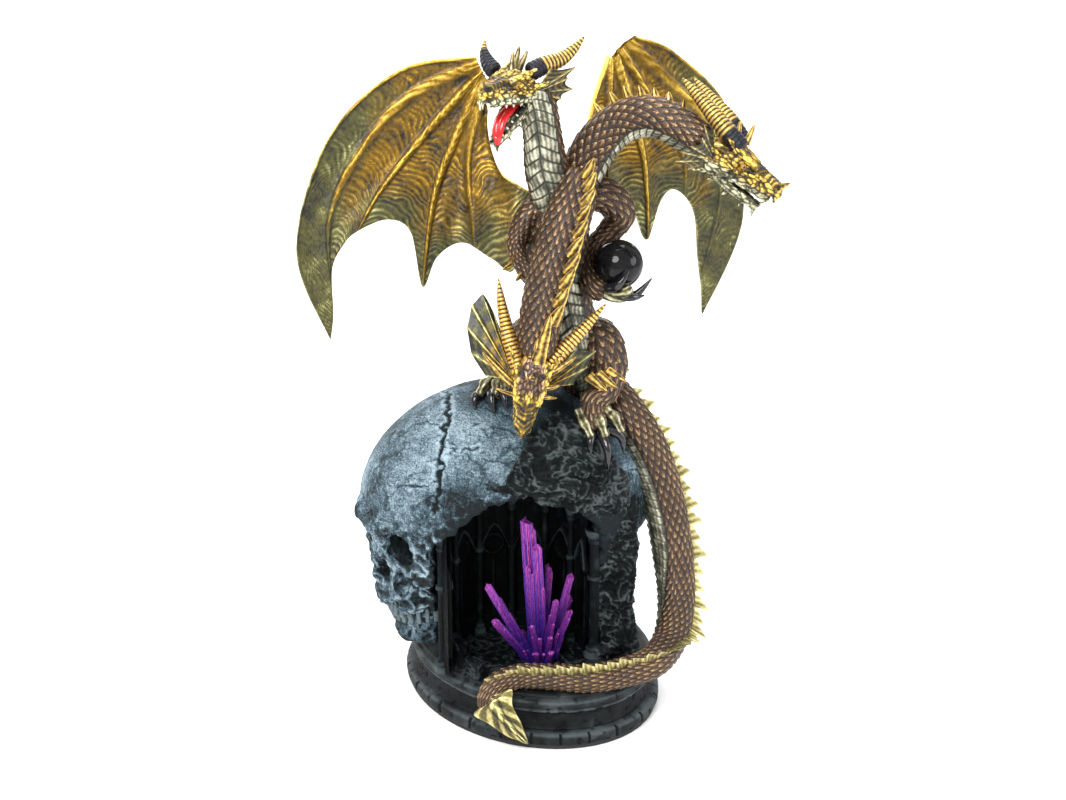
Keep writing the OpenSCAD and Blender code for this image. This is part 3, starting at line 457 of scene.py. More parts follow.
def make_materials():
    M["bronze"] = wash_paint("dragon_bronze_scales", **BRONZE, **SILVER, metal=0.75, rough=(0.34, 0.6))
    M["gold"] = wash_paint("antique_gold_paint", **GOLD, mid2=(0.34, 0.2, 0.04), light2=(1.0, 0.72, 0.2),
                           rough=(0.25, 0.5))
    M["wing"] = wash_paint("wing_gold_and_olive", (0.008, 0.006, 0.002), (0.24, 0.135, 0.014), (0.86, 0.58, 0.11),
                           (0.007, 0.008, 0.004), (0.115, 0.11, 0.040), (0.56, 0.53, 0.25), rough=(0.28, 0.55),
                           grain=2.2, bump=0.3)
    M["horn"] = wash_paint("horn_black_to_gold", dark=(0.003, 0.003, 0.006), mid=(0.012, 0.012, 0.022),
                           light=(0.03, 0.03, 0.036), mid2=(0.16, 0.10, 0.025), light2=(0.72, 0.47, 0.13))
    M["frill"] = wash_paint("frill_silver_olive", dark=(0.01, 0.01, 0.006), mid=(0.16, 0.14, 0.06),
                            light=(0.62, 0.60, 0.42), mid2=(0.22, 0.17, 0.06), light2=(0.8, 0.7, 0.36))
    M["leaf"] = wash_paint("tail_tip_pale_gold", (0.012, 0.011, 0.004), (0.20, 0.17, 0.055), (0.78, 0.70, 0.34))
    M["head"] = wash_paint("head_gold_silver_purple", **GOLD, dark2=(0.008, 0.008, 0.005), mid2=(0.15, 0.145, 0.075),
                           light2=(0.62, 0.60, 0.42), rough=(0.25, 0.5), grain=1.2,
                           brow=((0.008, 0.004, 0.004), (0.09, 0.05, 0.04), (0.35, 0.22, 0.17)))
    M["skull"] = stone_paint("skull_blue_grey", (0.003, 0.006, 0.008), (0.045, 0.078, 0.10), (0.31, 0.41, 0.47),
                             0.9, 0.6, hatch=(5, (1, 1, 3.5), (3.5, 1.5, 1), 0.95))
    M["teeth"] = stone_paint("old_teeth", (0.004, 0.006, 0.007), (0.045, 0.065, 0.075), (0.17, 0.22, 0.24), 1.0, 0.4)
    M["rock"] = stone_paint("cave_rock", (0.001, 0.002, 0.002), (0.008, 0.0105, 0.0115), (0.066, 0.08, 0.081), 1.5, 0.8, specular=0.1)
    # painted shade: the cave wall paint, also used on the grotto floor, is near black to stand for the shade inside the
    # cave
    M["cave"] = stone_paint("cave_wall", (0.0004, 0.0006, 0.0007), (0.002, 0.003, 0.0035), (0.026, 0.034, 0.037), 1.5, 0.5,
                            specular=0.08)
    M["plinth"] = stone_paint("plinth_stone", (0.002, 0.0025, 0.003), (0.0085, 0.011, 0.012), (0.056, 0.069, 0.073),
                              1.3, 0.35, rough=(0.4, 0.75), specular=0.15)
    M["claw"] = plain_finish("claw_black_gloss", (0.004, 0.004, 0.007), 0.16, 0.0, 0.4, 0.8, 0.06)
    M["orb"] = plain_finish("orb_black_gloss", (0.001, 0.001, 0.002), 0.03, 0.0, 0.3, 4, 0.02, specular=0.2)
    M["tongue"] = plain_finish("tongue_red_gloss", (0.55, 0.008, 0.012), 0.14, 0.0, 0.35, 1.0, 0.12)
    M["ivory"] = plain_finish("ivory_gloss", (0.75, 0.70, 0.58), 0.25, 0.0, 0.15, 0.7, 0.04)
    M["black"] = plain_finish("moulded_black_plastic", (0.018, 0.018, 0.02), 0.45, 0.0, 0.3, 0.4, 0.03)
    M["foam"] = plain_finish("black_foam", (0.012, 0.012, 0.013), 0.9, 0.0, 0.4, 0.5, 0.25)
    M["steel"] = plain_finish("zinc_steel", (0.55, 0.54, 0.51), 0.3, 1.0, 0.12, 0.6, 0.03)
    M["board"] = plain_finish("green_board", (0.015, 0.12, 0.04), 0.3, 0.0, 0.2, 1.5, 0.02)
    M["cell"] = plain_finish("cell_sleeve", (0.30, 0.17, 0.05), 0.3, 0.7, 0.1, 2.0, 0.01)
    M["led"] = plain_finish("clear_epoxy", (0.8, 0.82, 0.88), 0.1, 0.0, 0.05, 2.0, 0.01)
    M["wire"] = plain_finish("red_insulation", (0.35, 0.015, 0.015), 0.4, 0.0, 0.15, 0.5, 0.02)
    M["window"] = plain_finish("milky_window", (0.62, 0.5, 0.75), 0.35, 0.0, 0.1, 1.0, 0.03)
    M["grey"] = plain_finish("grey_plastic", (0.42, 0.43, 0.44), 0.45, 0.0, 0.1, 0.4, 0.02)


# ---------------------------------------------------------------- the stage

def stage():
    """Camera, lights and floor."""
    cam = bpy.data.cameras.new("camera")
    cam.sensor_width, cam.lens = 36.0, 52.24
    cam.clip_end = 20
    ob = bpy.data.objects.new("camera", cam)
    ob.location = (-0.2722, -0.8431, 0.4743)
    look = Vector((0.00156, -0.00051, 0.1864)) - ob.location
    ob.rotation_euler = look.to_track_quat("-Z", "Y").to_euler()
    bpy.context.scene.collection.objects.link(ob)
    bpy.context.scene.camera = ob
    lights = [("key", (-0.75, -1.0, 1.15), 0.8, 27, (1, 0.98, 0.95)), ("fill", (1.1, -0.7, 0.6), 0.8, 9, (0.95, 0.97, 1)),
              ("top", (0.1, 0.25, 1.5), 1.0, 13, (1, 1, 1)), ("rim", (-0.9, 0.9, 0.8), 0.7, 10, (1, 0.98, 0.96)),
              ("floor_near", (0.6, 2.6, 1.8), 2.5, 45, (1, 1, 1)), ("floor_far_right", (4.5, 6.5, 3.0), 4.0, 260, (1, 1, 1)),
              ("floor_far_left", (-0.5, 7.0, 3.0), 4.0, 260, (1, 1, 1))]
    for name, place, size, power, colour in lights:
        aim = Vector((0, 0, 0.2)) if power < 40 else Vector((place[0], place[1] + 0.4, 0))
        lamp = bpy.data.lights.new(name, "AREA")
        lamp.shape, lamp.size, lamp.energy, lamp.color = "DISK", size, power, colour
        lo = bpy.data.objects.new(name, lamp)
        lo.location = place
        lo.rotation_euler = (aim - Vector(place)).to_track_quat("-Z", "Y").to_euler()
        bpy.context.scene.collection.objects.link(lo)
    world = bpy.data.worlds.new("studio")
    world.use_nodes = True
    world.node_tree.nodes["Background"].inputs["Color"].default_value = (1, 1, 1, 1)
    world.node_tree.nodes["Background"].inputs["Strength"].default_value = 0.8
    bpy.context.scene.world = world
    bpy.context.scene.view_settings.view_transform = "Standard"
    me = bpy.data.meshes.new("floor")
    me.from_pydata([(-30, -30, 0), (30, -30, 0), (30, 30, 0), (-30, 30, 0)], [], [(0, 1, 2, 3)])
    floor = bpy.data.objects.new("floor", me)
    me.materials.append(plain_finish("pale_floor", (0.93, 0.93, 0.93), 0.6, 0.0, 0.01, 30, 0.01))
    bpy.context.scene.collection.objects.link(floor)


# ---------------------------------------------------------------- plinth

PLINTH_W, PLINTH_L, PLINTH_TURN, PLINTH_H = 149, 188, 12.5, 32


def plinth():
    """Oval plinth: block-jointed bottom tier, hollowed neck, ring moulding and a stone top."""
    profile = np.array([  # height, inset
        [2.5, 5.0], [2.5, 1.6], [3.2, 0.3], [4.5, 0.0], [7.0, 0.0], [8.4, 0.5], [9.2, 1.6], [9.8, 3.2], [10.0, 5.4],
        [10.6, 6.6], [12.5, 7.2], [16, 7.6], [19.5, 7.2], [21.0, 6.4], [21.6, 5.2], [22.6, 4.4], [23.6, 4.6],
        [24.2, 5.0], [24.8, 4.2], [26.2, 3.7], [27.6, 4.0], [28.5, 5.0], [28.9, 6.4], [29.6, 7.2], [30.8, 7.2],
        [31.6, 7.8], [32.0, 9.0]])
    rough = catmull(profile, 4)
    rough = np.maximum(rough, [2.5, 0.0])
    top = np.stack([np.full(24, 32.0), np.linspace(10, 72, 24)], 1)
    prof = np.concatenate([rough, top])
    cols = 720
    th = np.linspace(0, 2 * np.pi, cols, endpoint=False)
    a, b = PLINTH_W / 2, PLINTH_L / 2
    z, inset = prof[:, 0:1], prof[:, 1:2]
    x = np.maximum(a - inset, 1.5) * np.cos(th)
    y = np.maximum(b - inset, 1.5) * np.sin(th)
    t = math.radians(PLINTH_TURN)
    p = np.stack([x * math.cos(t) - y * math.sin(t), x * math.sin(t) + y * math.cos(t), z + 0 * x], -1)
    out = unit(np.stack([np.cos(th) / a, np.sin(th) / b], -1))
    out = np.stack([out[:, 0] * math.cos(t) - out[:, 1] * math.sin(t),
                    out[:, 0] * math.sin(t) + out[:, 1] * math.cos(t), 0 * th], -1)[None]
    h = 0.45 * fbm(p, 7, 3, 11) - 0.9 * smoothstep(0.35, 0.75, noise(p, 3.2, 5))
    joint = np.abs((np.degrees(th)[None] + 4 * np.sin(3 * th)[None]) % 15 - 7.5)
    groove = smoothstep(0.75, 0.35, joint) * (z < 9.4) * (z > 2.6)
    side = (inset < 9).astype(float)
    h = (h - 1.3 * groove) * side * smoothstep(2.5, 3.4, z)
    p = p + out * np.minimum(h, 0.0)[..., None]
    p[..., 2] += np.where(inset > 9, np.maximum(0.9 * fbm(p, 9, 3, 2), -0.6) * smoothstep(9, 14, inset), 0)
    edge = np.clip(1 - np.abs(np.gradient(np.gradient(prof[:, 1]))) * 0, 0, 1)[:, None]
    # painted shade: the hollowed neck between the tiers is darker; painted highlights along the moulding ridges; the
    # block joints are dark
    step = np.where((z < 10) | (z > 22), 0.55, 0.3)
    lit = smoothstep(0.25, -0.6, h) * 0 + step + 0.35 * fbm(p, 12, 3, 8) - 0.5 * groove
    ridge = np.exp(-((z - 9.0) / 0.9) ** 2) + np.exp(-((z - 28.2) / 0.8) ** 2) + np.exp(-((z - 22.6) / 0.7) ** 2)
    lit = np.clip(lit + 0.35 * ridge + 0.3 * h, 0, 1) * edge
    s = Soup()
    s.add(p, grid_faces(len(prof), cols, wrap=True), cav=lit)
    s.done("plinth_casting", M["plinth"], replaces=["plinth"], slot="plinth")


# ---------------------------------------------------------------- dragon: body, necks, limbs, tail

def left(n, v=(0.3, 0.95, 0)):
    return [v] * n


def dragon_body():
    body = [[36, 4, 184, 9, 9], [33, 1, 203, 15, 17], [24, -2, 226, 17, 19], [18, -2, 250, 17, 19],
            [15, -2, 276, 18, 21], [15, -4, 300, 18, 22], [18, -8, 318, 13, 15], [20, -12, 328, 6, 7]]
    skin("torso_scales", body, [(0.1, 1, 0)] * 8, dragon_relief(4.6, 22, 0.5, 7, down=-1), M["bronze"], 0.7, 170,
         replaces=["torso"], slot="torso")
    neck_l = [[13, -10, 304, 14, 12], [9, -15, 316, 13, 11], [4, -17, 330, 11.5, 10], [2, -17, 346, 10, 9.5],
              [1, -13, 360, 9.5, 9], [-1, -8, 372, 8, 8]]
    skin("left_neck_scales", neck_l, [(0.6, 1, 0)] * 6, dragon_relief(3.8, 16, 1.05, 6.0, down=-1), M["bronze"],
         0.5, 150, replaces=["left_neck"], slot="left_neck")
    neck_c = [[19, -14, 310, 10, 10], [20, -24, 318, 11, 11], [12, -33, 304, 12, 12], [3, -36, 282, 11.5, 12],
              [-4, -37, 257, 11, 12], [-8, -39, 238, 10.5, 11], [-11, -41, 224, 9, 9]]
    skin("centre_neck_scales", neck_c, [(0.5, 0, 1)] + [(0.45, -1, 0.3)] * 6,
         dragon_relief(3.8, 16, 0.9, 6.0), M["bronze"], 0.5, 150, replaces=["centre_neck"], slot="centre_neck")
    neck_r = [[22, -10, 312, 11, 11], [27, -14, 326, 11.5, 11.5], [35, -18, 342, 11.5, 11.5],
              [47, -25, 354, 11, 11], [60, -36, 358, 10.5, 10.5], [73, -47, 352, 10, 10], [84, -57, 343, 9, 9]]
    skin("right_neck_scales", neck_r, [(-1, 0.3, 0.3), (-1, 0.2, 0.6), (-0.8, 0.1, 0.8), (-0.3, 0.1, 1),
                                       (0, 0.1, 1), (0.4, -0.1, 1), (0.6, -0.2, 0.8)],
         dragon_relief(4.0, 15, 0.95, 5.5), M["bronze"], 0.5, 150, replaces=["right_neck"], slot="right_neck")


def limbs():
    cobble = dragon_relief(5.2, 13, 0.25, 6, scale_h=1.3)
    fine = dragon_relief(3.2, 12, 0.3, 4, scale_h=0.8)
    skin("right_leg_scales", [[33, -2, 230, 9, 11], [39, -10, 222, 13, 15], [42, -19, 210, 11, 12],
                              [38, -27, 197, 7, 7], [29, -31, 192, 6, 6], [28, -33, 184, 6, 6], [30, -38, 176, 5, 5]],
         [(0, -1, 0.2)] * 7, cobble, M["bronze"], 0.5, 130, replaces=["right_leg"], slot="right_leg")
    skin("left_leg_scales", [[10, -3, 232, 8, 10], [-2, -6, 228, 11, 13], [-14, -5, 219, 9, 10],
                             [-17, -1, 209, 6, 6], [-17, 1, 202, 5, 5], [-21, -3, 198, 6, 5],
                             [-27, -8, 196, 4, 3.5]],
         [(0, -1, 0.2)] * 7, cobble, M["bronze"], 0.5, 120, replaces=["left_leg"], slot="left_leg")
    skin("left_arm_scales", [[4, -8, 306, 8, 8], [-4, -8, 298, 7, 8], [-11, -9, 286, 5, 5], [-12, -17, 277, 4, 4],
                             [-9, -26, 270, 5, 3.5], [-5, -30, 264, 3, 2]],
         [(-1, -0.4, 0)] * 6, fine, M["bronze"], 0.5, 100, replaces=["left_arm"], slot="left_arm")
    skin("right_arm_scales", [[30, -10, 312, 9, 9], [42, -12, 310, 9, 9], [52, -10, 299, 8, 8],
                              [47, -5, 287, 6, 6], [36, -5, 277, 5, 5], [30, -12, 268, 5.5, 5],
                              [31, -22, 260, 6, 4.5], [38, -27, 256, 6, 3]],
         [(0.5, -1, 0.6)] * 8, cobble, M["bronze"], 0.5, 110, replaces=["right_arm"], slot="right_arm")


def tail():
    way = [[33, 2, 196, 11], [45, 1, 190, 12], [55, -10, 178, 12.5], [68, -20, 154, 12.5], [76, -29, 124, 12],
           [79, -38, 94, 11.5], [78, -49, 66, 10.5], [68, -65, 49, 9.5], [51, -80, 43, 8.5],
           [30, -84, 41, 7.5], [9, -83, 40, 7], [-10, -75, 40, 6.5], [-28, -68, 40, 6], [-43, -68, 37, 5.5],
           [-50, -72, 30, 4.5], [-50, -74, 26, 3]]
    back = [(0.3, 0, 1), (0.5, 0.1, 1), (0.8, 0.2, 0.6), (1, 0.2, 0.3), (1, 0.2, 0), (1, 0.1, -0.2), (1, -0.5, -0.3),
            (0.7, -0.8, 0.1), (0.2, -0.8, 0.7), (0, -0.6, 1), (-0.2, -0.6, 1), (-0.3, -0.6, 1), (-0.2, -0.7, 0.9),
            (-0.4, -0.8, 0.5), (-0.7, -0.7, 0), (-0.7, -0.7, 0)]
    skin("tail_scales", way, back, dragon_relief(4.2, 18, 0.75, 5.5), M["bronze"], 0.55, 150,
         replaces=["tail"], slot="tail")


def blades(name, items, radius, material, replaces, slot, flat=0.45, bend=0.25, body=ROOT):
    """Curved, flattened spines. Each item is [root x y z, tip x y z] and may end with a radius."""
    s = Soup()
    for q in items:
        a, b = np.array(q[:3], float), np.array(q[3:6], float)
        r = q[6] if len(q) > 6 else radius
        d = b - a
        mid = (a + b) / 2 + np.cross(unit(d), unit(vec(0.3, 0.2, 1))) * 0 + unit(vec(0, 0, 1)) * -bend * 0.2 * np.linalg.norm(d)
        line = [[*(a - d * 0.12), r * flat, r], [*(a * 0.6 + mid * 0.4), r * flat * 0.9, r * 0.85],
                [*((mid + b) / 2), r * flat * 0.5, r * 0.5], [*b, 0.25, 0.3]]
        skin("", line, [tuple(unit(np.cross(d, vec(0.2, 0.9, 0.3))))] * 4, fibre_relief(0.25, 5), None, 0.45, 28, soup=s)
    return s.done(name, material, replaces=replaces, slot=slot, body=body)


# ---------------------------------------------------------------- wings

LEFT_RAYS = [
    [[-22, 34, 387], [-66, 41, 380], [-108, 46, 342], [-130, 42, 278], [-114, 31, 225]],
    [[-21, 34, 384], [-64, 41, 370], [-98, 45, 335], [-118, 43, 290], [-111, 34, 240]],
    [[-20, 34, 382], [-60, 41, 360], [-88, 43, 328], [-104, 42, 298], [-110, 38, 266]],
    [[-19, 34, 380], [-56, 40, 352], [-79, 42, 325], [-93, 41, 305], [-103, 38, 280]],
    [[-19, 33, 379], [-51, 39, 344], [-70, 40, 322], [-83, 39, 306], [-94, 38, 288]],
    [[-18, 33, 378], [-45, 38, 340], [-59, 38, 320], [-68, 37, 306], [-76, 37, 294]],
    [[-18, 33, 377], [-41, 37, 338], [-52, 37, 316], [-58, 36, 300], [-63, 35, 286]],
    [[-18, 33, 377], [-37, 36, 335], [-47, 36, 310], [-53, 33, 285], [-58, 29, 254]],
    [[-17, 32, 376], [-33, 35, 335], [-40, 34, 310], [-45, 32, 290], [-48, 31, 271]],
    [[-17, 32, 375], [-29, 34, 335], [-32, 32, 312], [-33, 31, 296], [-33, 29, 279]],
    [[-16, 31, 374], [-23, 30, 338], [-23, 26, 316], [-21, 15, 294], [-20, 10, 272]],
    [[-15, 31, 375], [-18, 29, 340], [-14, 20, 318], [-11, 5, 296], [-9, 1, 268]],
    [[-13, 30, 378], [-17, 28, 348], [-13, 20, 324], [-5, 8, 316], [4, 5, 311]],
]
RIGHT_RAYS = [
    [[68, 12, 398], [92, 9, 388], [126, 6, 353], [140, 10, 286], [118, 16, 226]],
    [[65, 12, 396], [88, 10, 378], [116, 8, 350], [129, 10, 302], [117, 16, 242]],
    [[62, 13, 394], [84, 11, 370], [107, 9, 345], [120, 11, 305], [114, 16, 262]],
    [[60, 13, 392], [80, 11, 364], [98, 10, 342], [109, 12, 316], [109, 13, 292]],
    [[58, 14, 390], [76, 11, 360], [89, 11, 340], [96, 13, 322], [97, 14, 306]],
    [[57, 14, 388], [72, 11, 356], [82, 12, 336], [86, 13, 318], [87, 14, 300]],
    [[56, 14, 387], [67, 12, 352], [74, 12, 328], [77, 12, 304], [78, 12, 277]],
    [[55, 14, 386], [62, 12, 352], [66, 12, 332], [69, 12, 312], [70, 12, 293]],
    [[54, 14, 386], [57, 12, 354], [59, 12, 336], [61, 12, 320], [62, 12, 304]],
    [[53, 14, 386], [52, 11, 358], [51, 11, 340], [51, 11, 326], [51, 10, 311]],
    [[52, 14, 386], [46, 11, 360], [43, 11, 344], [42, 11, 332], [42, 10, 319]],
    [[51, 14, 387], [42, 11, 364], [38, 10, 348], [35, 10, 338], [34, 9, 327]],
]


def wing(name, rays, fingers, face, material, body, node):
    """Cast wing: a closed shell with raised finger bones, sunk and wrinkled skin between them.

    fingers lists [ray number, width in mm, height in mm]; face is the way the front looks.
    """
    face = unit(vec(*face))
    mid = catmull(np.swapaxes(catmull(rays, 24), 0, 1), 34)
    mid = np.swapaxes(mid, 0, 1)
    n, m = mid.shape[:2]
    i = np.linspace(0, len(rays) - 1, n)[:, None] + np.zeros(m)
    t = np.linspace(0, 1, m)[None] + np.zeros((n, 1))
    across = np.linalg.norm(np.gradient(mid, axis=0), axis=-1) * (n - 1) / (len(rays) - 1)
    along = np.cumsum(np.linalg.norm(np.diff(mid, axis=1, prepend=mid[:, :1]), axis=-1), axis=1)
    bone = np.zeros((n, m))
    nearest = np.full((n, m), 99.0)
    for k, width, height in fingers:
        d = np.abs(i - k) * across
        w = width * (1.25 - 0.65 * t)
        bone = np.maximum(bone, height * (1.15 - 0.6 * t) * np.exp(-(d / w) ** 2))
        nearest = np.minimum(nearest, d / w)
    ks = np.array([f[0] for f in fingers], float)
    lo = ks[np.clip(np.searchsorted(ks, i, side="right") - 1, 0, len(ks) - 2)]
    hi = ks[np.clip(np.searchsorted(ks, i, side="right"), 1, len(ks) - 1)]
    g = np.clip((i - lo) / np.maximum(hi - lo, 0.5), 0, 1)
    sag = 4 * g * (1 - g)
    warp = fbm(mid, 16, 2, 3)
    lines = along / 3.6 + 1.7 * sag + 2.2 * warp + 0.5 * noise(mid, 6, 13)
    fold = 1 - np.abs((lines % 1) * 2 - 1)
    fold = fold ** 1.6 * smoothstep(0.03, 0.2, t) * smoothstep(0.9, 2.0, nearest)
    rough = fbm(mid, 5, 3, 9)
    groove = (0.5 + 0.5 * np.cos((i * across) * 2.2 + 3 * noise(mid, 9, 4))) * smoothstep(1.6, 0.6, nearest)
    border = np.minimum.reduce([i * across, (len(rays) - 1 - i) * across, (1 - t) * along[:, -1:], 6 + 0 * t])
    rim = np.sqrt(np.clip(1 - (1 - np.clip(border / 2.2, 0, 1)) ** 2, 0, 1))
    skin_t = 1.3
    wave = 0.75 * fold + 0.35 * rough + 0.35 * groove * (bone > 0.6)
    front = rim * (skin_t + bone + wave) - 1.1 * sag * smoothstep(0.1, 0.5, t) * smoothstep(1, 0.75, t)
    back = rim * (skin_t + 0.55 * bone + 0.3 * fold + 0.2 * rough) + 1.1 * sag * smoothstep(0.1, 0.5, t) * smoothstep(1, 0.75, t)
    back = np.maximum(back, 0.35 * rim - front)
    edge = smoothstep(3.5, 0.5, border)
    fold = fold * (0.55 + 0.6 * noise(mid, 9, 15))
    cav = np.clip(0.26 + 0.55 * fold + 0.55 * smoothstep(0.4, 1.8, bone) * (0.45 + 0.55 * groove) + 0.15 * rough
                  + 0.4 * edge * (0.5 + 0.5 * rough), 0, 1)
    outer = smoothstep(2.6, 0.8, i)
    tone = np.clip(0.15 + 0.6 * smoothstep(0.35, 1.0, t) + 0.65 * outer * smoothstep(0.1, 0.5, t) - 0.55 * smoothstep(0.5, 1.6, bone)
                   + 0.3 * warp, 0, 1)
    s = Soup()
    f = grid_faces(n, m)
    a, b = mid + face * front[..., None], mid - face * back[..., None]
    flip = np.dot(np.cross(mid[5, 8] - mid[0, 8], mid[0, 12] - mid[0, 8]), face) < 0
    s.add(a, f[:, ::-1] if flip else f, cav=cav, tone=tone)
    s.add(b, f if flip else f[:, ::-1], cav=np.clip(cav * 0.9, 0, 1), tone=np.clip(tone + 0.1, 0, 1))
    s.done(name, material, body=body, replaces=[node], slot=node)


def wings():
    wing("left_wing_casting", LEFT_RAYS, [(0, 3.0, 1.6), (1.6, 3.2, 1.6), (4, 2.4, 1.9), (7, 2.6, 2.1), (9.4, 2.4, 1.6), (12, 2.6, 1.8)],
         (-0.25, -0.95, 0.1), M["wing"], "left_wing", "left_wing")
    wing("right_wing_casting", RIGHT_RAYS, [(0, 3.0, 1.6), (1.5, 3.2, 1.5), (3.6, 2.2, 1.6), (6, 2.6, 2.1), (9, 2.2, 1.5), (11, 2.6, 1.8)],
         (0.1, -0.98, 0.1), M["wing"], "right_wing", "right_wing")


# ---------------------------------------------------------------- sculpting in a distance field

FINE = 1.0


def ball(p, c, r):
    """Distance to a sphere, or about that to an ellipsoid of radii r."""
    q = p - np.asarray(c, np.float32)
    if np.isscalar(r):
        return np.linalg.norm(q, axis=-1) - r
    r = np.asarray(r, np.float32)
    k = np.linalg.norm(q / r, axis=-1)
    return k * (k - 1) / np.maximum(np.linalg.norm(q / r ** 2, axis=-1), 1e-6)


def rod(p, a, b, ra, rb=None):
    """Distance to a round bar from a to b that tapers from ra to rb."""
    a, b = np.asarray(a, np.float32), np.asarray(b, np.float32)
    d = b - a
    h = np.clip((p - a) @ d / float(d @ d), 0, 1)
    return np.linalg.norm(p - a - h[..., None] * d, axis=-1) - (ra + ((ra if rb is None else rb) - ra) * h)


def chain(p, points, k=2.0):
    """Bars through [x, y, z, r] points, blended."""
    out = None
    for a, b in zip(points[:-1], points[1:]):
        d = rod(p, a[:3], b[:3], a[3], b[3])
        out = d if out is None else join(out, d, k)
    return out


def join(a, b, k):
    h = np.clip(0.5 + 0.5 * (b - a) / k, 0, 1)
    return b + (a - b) * h - k * h * (1 - h)


def cut(a, b, k):
    """a without b, with an edge rounded by k."""
    return -join(-a, b, k)


def sample(d, lo, voxel, q):
    g = (q - lo) / voxel
    b = np.clip(np.floor(g).astype(int), 0, np.array(d.shape) - 2)
    f = np.clip(g - b, 0, 1)
    out = 0
    for i in (0, 1):
        for j in (0, 1):
            for k in (0, 1):
                w = (f[:, 0] if i else 1 - f[:, 0]) * (f[:, 1] if j else 1 - f[:, 1]) * (f[:, 2] if k else 1 - f[:, 2])
                out = out + w * d[b[:, 0] + i, b[:, 1] + j, b[:, 2] + k]
    return out


def sculpt(name, lo, hi, voxel, shape, relief, material, reach=2.2, grow=1.0, soup=None, **more):
    """Meshes shape(points) < 0, then moves the surface out by relief(points, normals, open).

    open is 0 deep in a crevice and 1 on an open surface; relief returns the height and attributes.
    """
    voxel = voxel * FINE
    lo, hi = vec(*lo), vec(*hi)
    n = np.ceil((hi - lo) / voxel).astype(int) + 1
    p = np.stack(np.meshgrid(*[lo[k] + voxel * np.arange(n[k]) for k in range(3)], indexing="ij"), -1).astype(np.float32)
    d = shape(p).astype(np.float32)
    grid = vdb.FloatGrid(float(voxel * 4))
    grid.copyFromArray(np.clip(d, -4 * voxel, 4 * voxel).astype(np.float32))
    pts, quads = grid.convertToQuads(isovalue=0.0)
    v = np.asarray(pts, float) * voxel + lo
    e = 0.6 * voxel
    grad = np.stack([sample(d, lo, voxel, v + e * np.eye(3)[k]) - sample(d, lo, voxel, v - e * np.eye(3)[k])
                     for k in range(3)], -1)
    normal = unit(grad)
    # opened works as baked occlusion: the reliefs darken colour by it, as painted shade deep in crevices
    opened = np.clip(sample(d, lo, voxel, v + normal * reach) / reach, 0, 1)
    height, attrs = relief(v, normal, opened)
    v = v + normal * (height * grow)[:, None]
    q = np.asarray(quads, int)
    a, b, c = v[q[:, 0]], v[q[:, 1]], v[q[:, 2]]
    if np.mean(np.sum(np.cross(b - a, c - a) * normal[q[:, 0]], 1)) < 0:
        q = q[:, ::-1]
    if soup is not None:
        soup.add(v, np.concatenate([q[:, [0, 1, 2]], q[:, [0, 2, 3]]]), **attrs)
        return None
    return add_mesh(name, v, q, material, attrs=attrs, **more)


# ---------------------------------------------------------------- heads

class Head:
    """A head's own axes: x towards the nose, y to its left, z up, in mm times scale."""

    def __init__(self, origin, forward, up, scale):
        self.o = vec(*origin)
        f = unit(vec(*forward))
        s = unit(np.cross(vec(*up), f))
        self.axes = np.stack([f, s, np.cross(f, s)])
        self.k = scale

    def world(self, q):
        return self.o + np.asarray(q, float) @ self.axes * self.k

    def local(self, p):
        return ((p - self.o.astype(np.float32)) @ self.axes.T.astype(np.float32)) / self.k

    def box(self, lo, hi):
        c = np.array([[x, y, z] for x in (lo[0], hi[0]) for y in (lo[1], hi[1]) for z in (lo[2], hi[2])])
        w = self.world(c)
        return w.min(0), w.max(0)


def upper_head(q, mouth):
    """Upper part of a dragon's head in its own axes, for |y|."""
    m = q.copy()
    m[..., 1] = np.abs(m[..., 1])
    d = ball(m, (9, 0, 2), (13, 9.5, 8.5))
    d = join(d, rod(m, (16, 0, 3.5), (38, 0, 1.2), 7.6, 5.0), 5)
    d = join(d, rod(m, (20, 5, -1), (38, 3.2, -1.8), 3.4, 2.6), 3)
    d = join(d, ball(m, (41, 0, 2.6), (4.6, 5.2, 4.4)), 2)
    d = join(d, rod(m, (44, 0, 5), (46.5, 0, 9.5), 2.0, 0.7), 1.5)
    d = join(d, rod(m, (44.5, 0, 0.5), (45, 0, -4.5), 2.4, 0.9), 1.5)
    d = join(d, rod(m, (18, 0, 10), (38, 0, 6.6), 1.7, 1.2), 2)
    d = join(d, rod(m, (25, 3.4, 8), (40, 2.6, 6), 1.2, 0.9), 1.5)
    d = join(d, rod(m, (26, 6.2, 7.2), (13, 7.6, 10), 2.2, 2.4), 1.6)
    d = join(d, rod(m, (13, 7.6, 10), (5, 10.5, 13.5), 2.2, 0.5), 1.4)
    d = join(d, ball(m, (7, 8.2, -2.5), (8, 3.8, 6)), 3)
    d = join(d, chain(m, [(3, 9.5, -5, 2.0), (14, 8.8, -4.5, 1.8), (27, 6.4, -4.2, 1.6), (41, 4.0, -4.6, 1.6)], 1), 1.6)
    d = join(d, chain(m, [(28, 6.6, 2.5, 1.0), (20, 8.6, 0.5, 1.3), (10, 10.5, 1.0, 1.3)], 1), 1.2)
    for a, b, r in (((5, 10.5, 3), (-6, 16, 6), 2.0), ((4, 10.5, -2), (-7, 16, -3), 2.0), ((6, 9.5, -7), (-3, 13, -12), 1.7),
                    ((14, 9.5, -5), (9, 12.5, -9), 1.2), ((19, 8, -5), (15, 10.5, -8.5), 1.0)):
        d = join(d, rod(m, a, b, r, 0.3), 1.2)
    d = cut(d, ball(m, (20.5, 9.3, 4.6), (3.8, 2.6, 2.7)), 0.8)
    d = cut(d, rod(m, (43, 3.4, 4.5), (46, 5.5, 5.5), 1.1, 1.5), 0.6)
    d = cut(d, rod(m, (9, 0, -8.5), (43, 0, -7.5), 5.5 if mouth > 20 else 3.5, 3.2), 1.0)
    return d


